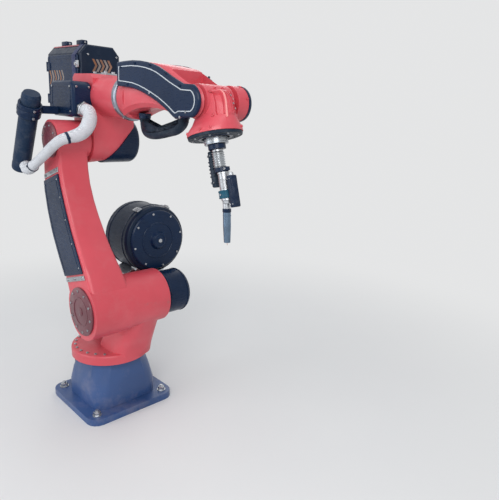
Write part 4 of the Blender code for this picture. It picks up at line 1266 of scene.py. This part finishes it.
def sinkRecess(shape):
    # Cuts the recess's outline into the wrist's front and pushes what lies inside it back.
    corners = wristLook["recess"]
    middle = Vector((0, *middleOf(corners[0], corners[2])))
    sides = []
    for start, end in ((0, 1), (3, 2), (0, 3), (1, 2)):
        point = Vector((0, *corners[start]))
        normal = (Vector((0, *corners[end])) - point).normalized().cross(Vector(ahead))
        sides.append((point, normal, (middle - point).dot(normal) > 0))
        front = frontFaces(shape)
        geom = front + list({edge for face in front for edge in face.edges})
        geom += list({vert for face in front for vert in face.verts})
        bmesh.ops.bisect_plane(shape, geom=geom, plane_co=point, plane_no=normal, dist=0.00001)
    floor = []
    for face in frontFaces(shape):
        centre = face.calc_center_median()
        if face.normal.x > 0.2 and all(
                ((centre - point).dot(normal) > 0) == inside for point, normal, inside in sides):
            floor.append(face)
    bmesh.ops.inset_region(
        shape, faces=floor, thickness=wristLook["recessSlope"], depth=-wristLook["recessDepth"],
        use_even_offset=True)


def dressWrist():
    look = wristLook
    home = frames["wrist"]
    shape = mergedCopy("wrist_casting", 0.1)
    bmesh.ops.transform(shape, matrix=home.inverted(), verts=shape.verts)
    sinkRecess(shape)
    piece = finishPiece("wrist_casting_skin", shape, "wrist", "arm_red", home, sharp=38)
    addBevel(piece, 0.0016, 3, 34)
    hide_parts("wrist_casting")
    # The ridge beside the recess, pale pink as a painted highlight of its lit edge, the pad with ribs, and the
    # screws.
    layPatch("wrist_ridge", *look["ridge"], ridgePaintedHighlight)
    layPatch("wrist_pad", *look["pad"])
    for index in range(look["ribs"]):
        left = look["ribFrom"] + index * look["ribPitch"]
        layPatch("wrist_rib_%d" % (index + 1), ((left, -0.0465), (left + 0.0016, -0.0465),
                 (left + 0.003, 0.013), (left + 0.0014, 0.013)), 0.0008, 0.002, 1, 8, 0.0005)
    places = [spot(home, *wristPoint(*point)) for point in look["frontScrews"]]
    addScrews("wrist_front_screws", "wrist", places, 0.0044, 0.0034, slot="arm_red")
    places = [spot(home, *wristPoint(*point, 0.0012)) for point in look["padScrews"]]
    addScrews("wrist_pad_screws", "wrist", places, 0.0026, 0.0022)
    # Bolts up through the bell's ring, and lugs on the bell's rim.
    ring = spot(home, (0, 0, cornersOf("bell_ring")[0].z), down)
    addScrews("bell_ring_screws", "wrist", circlePlaces(ring, 0.0635, 8, 8), 0.003, 0.0022)
    addRing("bell_ring_step", "wrist", "cover_black", ring, 0.0392, 0.048, -0.004, 0.0012)
    height, reach = look["bellRim"]
    places = landRound("wrist_casting", (0, 0, height), reach, look["bellAngles"], ahead, far, follow=True)
    addScrews("bell_screws", "wrist", places, 0.004, 0.003, slot="arm_red")


dressWrist()
print("wrist dressed")

# Torch: mount, ribbed stem, side body, sensor, neck and nozzle

torchLook = {
    "barrelX": 0.01,
    "neckBend": 12.0,
    "mountScrews": (0.0328, -0.0175),   # reach and height of their circle
    "mountRings": {"groove": (0.0318, 0.0334, -0.013, -0.0106), "lower": (0.03, 0.0334, -0.0245, -0.0222)},
    "stemRibs": 7,
    "stemFoot": -0.0885,
    "stemPitch": 0.0062,
    "stemRib": ((0.0158, 0), (0.0176, 0.001), (0.0178, 0.0024), (0.016, 0.0034), (0.0156, 0.0052)),
    "bodyX": (-0.034, -0.015),
    "bodyCaps": ((-0.056, -0.05), (-0.13, -0.124)),
    "bodyRibs": 5,
    "bodyRibsFrom": -0.112,
    "bodyRibPitch": 0.01,
    "earBolt": (0.0275, -0.0073, -0.0965),
    "ear": ((0.023, -0.0075, -0.102), (0.032, 0.0075, -0.091)),
    "gripRings": 9,
    "gripFrom": -0.149,
    "gripPitch": 0.003,
    "gripRing": ((0.0156, 0), (0.0162, 0.0008), (0.0162, 0.0018), (0.0156, 0.0026)),
    "sleeveRings": (-0.1735, -0.157),
    "sleeveScrew": (0.01, -0.0205, -0.164),
    "neckNut": (0.01, 0, -0.1812),
    "sensorPlate": (0.003, 0.006),   # its inset on the sensor's sides
    "sensorScrewInset": (0.0055, 0.009),
    "socket": ((0, -0.0005), (0.0072, -0.0005), (0.0072, 0.003), (0.0062, 0.0034), (0.0062, 0.0078),
               (0.0054, 0.0084), (0.0048, 0.0084), (0.0048, 0.004), (0, 0.004)),
    "sensorArm": ((0.0285, -0.0065, -0.17), (0.0315, 0.0065, -0.158)),
    "tipEnd": (-0.0165, 0, -0.2952),
    "nozzleLength": 0.0945,
    "insulator": ((0.01, -0.001), (0.0118, 0.0000), (0.0121, 0.0018), (0.0121, 0.0085), (0.0114, 0.0098),
                  (0.01, 0.0098)),
    "wire": (0.0007, 0.009),
}


def ribbedProfile(foot, head, rib, starts):
    # A profile from foot to head with one rib's profile at each of the starts.
    return [foot] + [(radius, start + height) for start in starts for radius, height in rib] + [head]


def dressTorch():
    look = torchLook
    home = frames["tool"]
    axis = spot(home, (0, 0, 0), up)
    barrel = spot(home, (look["barrelX"], 0, 0), up)
    angles = [math.radians(degrees) for degrees in range(22, 360, 45)]
    reach, height = look["mountScrews"]
    places = [spot(home, (reach * math.cos(angle), reach * math.sin(angle), height),
                   (math.cos(angle), math.sin(angle), 0)) for angle in angles]
    addScrews("mount_screws", "tool", places, 0.0032, 0.0014)
    for name, sizes in look["mountRings"].items():
        addRing("mount_%s_ring" % name, "tool", "ring_grey", axis, *sizes, 0.0005)
    # Ribs round the stem.
    foot = look["stemFoot"]
    starts = [foot + rib * look["stemPitch"] for rib in range(look["stemRibs"])]
    head = (0.0145, foot + look["stemRibs"] * look["stemPitch"] + 0.002)
    profile = ribbedProfile((0.0145, foot - 0.001), head, look["stemRib"], starts)
    addTurned("stem_ribs", "tool", "tool_chrome", profile, axis, 48, closed=True, sharp=50)
    # Side body: end caps, ribs and screws, and the clamp's ear with its bolt.
    left, right = look["bodyX"]
    shape = bmesh.new()
    for low, high in look["bodyCaps"]:
        addBox(shape, home, (left, -0.0128, low), (right, 0.0128, high), 0.0012)
    for index in range(look["bodyRibs"]):
        height = look["bodyRibsFrom"] + index * look["bodyRibPitch"]
        addBox(shape, home, (left + 0.0004, -0.0122, height),
               (right - 0.001, 0.0122, height + 0.0042), 0.001)
    finishPiece("side_body_ribs", shape, "tool", "hose_black")
    points = product((-0.029, -0.0195), [-0.0128], (-0.053, -0.127))
    addScrews("side_body_screws", "tool", spots(home, near, points), 0.0022, 0.0016)
    addBoxes("clamp_ear", "tool", "cover_black", 0.0012, [look["ear"]])
    addScrews("clamp_bolt", "tool", [spot(home, look["earBolt"], near)], 0.0036, 0.0034)
    # The barrel's ribbed grip and collar, the sleeve's rings and screw.
    starts = [look["gripFrom"] + ring * look["gripPitch"] for ring in range(look["gripRings"])]
    profile = ribbedProfile((0.0145, -0.15), (0.0145, -0.121), look["gripRing"], starts)
    addTurned("barrel_grip", "tool", "bright_steel", profile, barrel, 48, closed=True, sharp=50)
    addRing("barrel_collar", "tool", "tool_chrome", barrel, 0.0145, 0.0172, -0.108, -0.1032, 0.0008, 48)
    for index, height in enumerate(look["sleeveRings"]):
        addRing("sleeve_ring_%d" % (index + 1), "tool", "sleeve_teal", barrel, 0.0195, 0.0213,
                height, height + 0.003, 0.0006, 48)
    addScrews("sleeve_screw", "tool", [spot(home, look["sleeveScrew"], near)], 0.003, 0.002)
    # Sensor box: plates on three sides, screws, a socket on top and the arm that holds it.
    low, high = cornersOf("torch_sensor")
    aside, above = look["sensorPlate"]
    boxes = [((high.x - 0.001, -0.0085, low.z + 0.01), (high.x + 0.0012, 0.0085, high.z - 0.01))]
    for face in (low.y, high.y):
        boxes.append(((low.x + aside, face - 0.001, low.z + above),
                      (high.x - aside, face + 0.001, high.z - above)))
    addBoxes("sensor_plates", "tool", "cover_black", 0.0008, boxes)
    aside, above = look["sensorScrewInset"]
    points = product((low.x + aside, high.x - aside), [low.y - 0.0009], (low.z + above, high.z - above))
    addScrews("sensor_screws", "tool", spots(home, near, points), 0.0017, 0.0012)
    socket = spot(home, ((low.x + high.x) / 2, 0, high.z), up)
    addTurned("sensor_socket", "tool", "bright_steel", look["socket"], socket, 40)
    addBoxes("sensor_arm", "tool", "bright_steel", 0.0008, [look["sensorArm"]])
    # Neck nut, nozzle's insulator and band, and the wire's end.
    addScrews("neck_nut", "tool", [spot(home, look["neckNut"], down)], 0.0138, 0.0075, 6, 0)
    bend = math.radians(look["neckBend"])
    along = Vector((-math.sin(bend), 0, -math.cos(bend)))
    tipEnd = Vector(look["tipEnd"])
    top = spot(home, tipEnd - along * look["nozzleLength"], along)
    addTurned("nozzle_insulator", "tool", "cover_black", look["insulator"], top, 40, closed=True)
    addRing("nozzle_band", "tool", "nozzle_metal", top, 0.01, 0.0116, 0.018, 0.0212, 0.0004, 40)
    shape = bmesh.new()
    addPin(shape, spot(home, tipEnd + along * 0.0035, along), *look["wire"], 14)
    finishPiece("wire_end", shape, "tool", "tip_copper")


dressTorch()
print("torch dressed")

# Floor, backdrop and light

studio = {
    "floorSize": 12.0,
    "floorColour": (0.8, 0.8, 0.79),
    "floorPatches": (0.78, 0.78, 0.775),
    "farColour": (0.78, 0.785, 0.79),   # what the camera and polished metal see past the floor
    "fadeFrom": 0.7,                    # metres from the base where the floor starts to fade
    "fadeTo": 2.6,
    "skyColour": (0.86, 0.89, 0.94),
    "skyStrength": 0.55,
    # Lamps: place, target, size, power, colour.
    "lamps": {
        "key": ((2.6, -1.9, 2.5), (0.1, 0, 0.8), 2.0, 64, (1, 1, 1)),
        "fill": ((-0.8, -3.2, 1.5), (0.1, 0, 0.8), 2.4, 34, (0.92, 0.96, 1.0)),
        "rim": ((-1.8, 2.4, 2.4), (0.1, 0, 0.9), 1.8, 15, (1, 1, 1)),
        "top": ((0.3, 0.2, 3.6), (0.2, 0, 0.8), 2.4, 16, (1, 1, 1)),
    },
}


def addFloor():
    # A pale floor that fades into the plain backdrop, shadows kept near the base.
    shape = bmesh.new()
    bmesh.ops.create_grid(shape, x_segments=1, y_segments=1, size=studio["floorSize"])
    mesh = bpy.data.meshes.new("floor")
    shape.to_mesh(mesh)
    shape.free()
    material, tree, shader = startMaterial("floorPale")
    tint = addPatches(tree, (1.5, 4), 0.3, 0.7)
    setInputs(tree, shader, {
        "Base Color": mixColours(tree, tint, studio["floorPatches"], studio["floorColour"]),
        "Roughness": 0.8,
        "Specular IOR Level": 0.2})
    place = addNode(tree, "TexCoord").outputs["Object"]
    reach = addNode(tree, "VectorMath", {0: place}, operation="LENGTH").outputs["Value"]
    fade = addNode(tree, "MapRange", {
        "Value": reach, "From Min": studio["fadeFrom"], "From Max": studio["fadeTo"]},
        interpolation_type="SMOOTHSTEP")
    beyond = addNode(tree, "Emission", {"Color": studio["farColour"]})
    path = addNode(tree, "LightPath").outputs
    seen = addMath(tree, "MAXIMUM", path["Is Camera Ray"], path["Is Glossy Ray"])
    share = addMath(tree, "MULTIPLY", fade.outputs["Result"], seen)
    mix = addNode(tree, "MixShader", {0: share, 1: shader.outputs[0], 2: beyond.outputs[0]})
    tree.links.new(mix.outputs[0], tree.nodes["Material Output"].inputs["Surface"])
    mesh.materials.append(material)
    floor = bpy.data.objects.new("floor", mesh)
    scene.collection.objects.link(floor)


def addSky():
    # Even light from all round, and the backdrop's own colour where the camera looks past the floor.
    world = bpy.data.worlds.new("studio")
    scene.world = world
    world.use_nodes = True
    tree = world.node_tree
    sky = tree.nodes["Background"]
    setInputs(tree, sky, {"Color": studio["skyColour"], "Strength": studio["skyStrength"]})
    seen = addNode(tree, "Background", {"Color": studio["farColour"]})
    path = addNode(tree, "LightPath").outputs
    share = addMath(tree, "ADD", path["Is Camera Ray"], path["Is Glossy Ray"], True)
    share = addMath(tree, "ADD", share, path["Is Transmission Ray"], True)
    mix = addNode(tree, "MixShader", {0: share, 1: sky.outputs[0], 2: seen.outputs[0]})
    tree.links.new(mix.outputs[0], tree.nodes["World Output"].inputs["Surface"])


def addLamp(name, place, target, size, power, colour):
    data = bpy.data.lights.new(name, "AREA")
    data.shape = "RECTANGLE"
    data.size = size
    data.size_y = size
    data.energy = power
    data.color = colour
    lamp = bpy.data.objects.new(name, data)
    scene.collection.objects.link(lamp)
    lamp.location = place
    lamp.rotation_euler = (Vector(target) - Vector(place)).to_track_quat("-Z", "Y").to_euler()


addFloor()
addSky()
for name, values in studio["lamps"].items():
    addLamp(name, *values)
print("stage and light set")
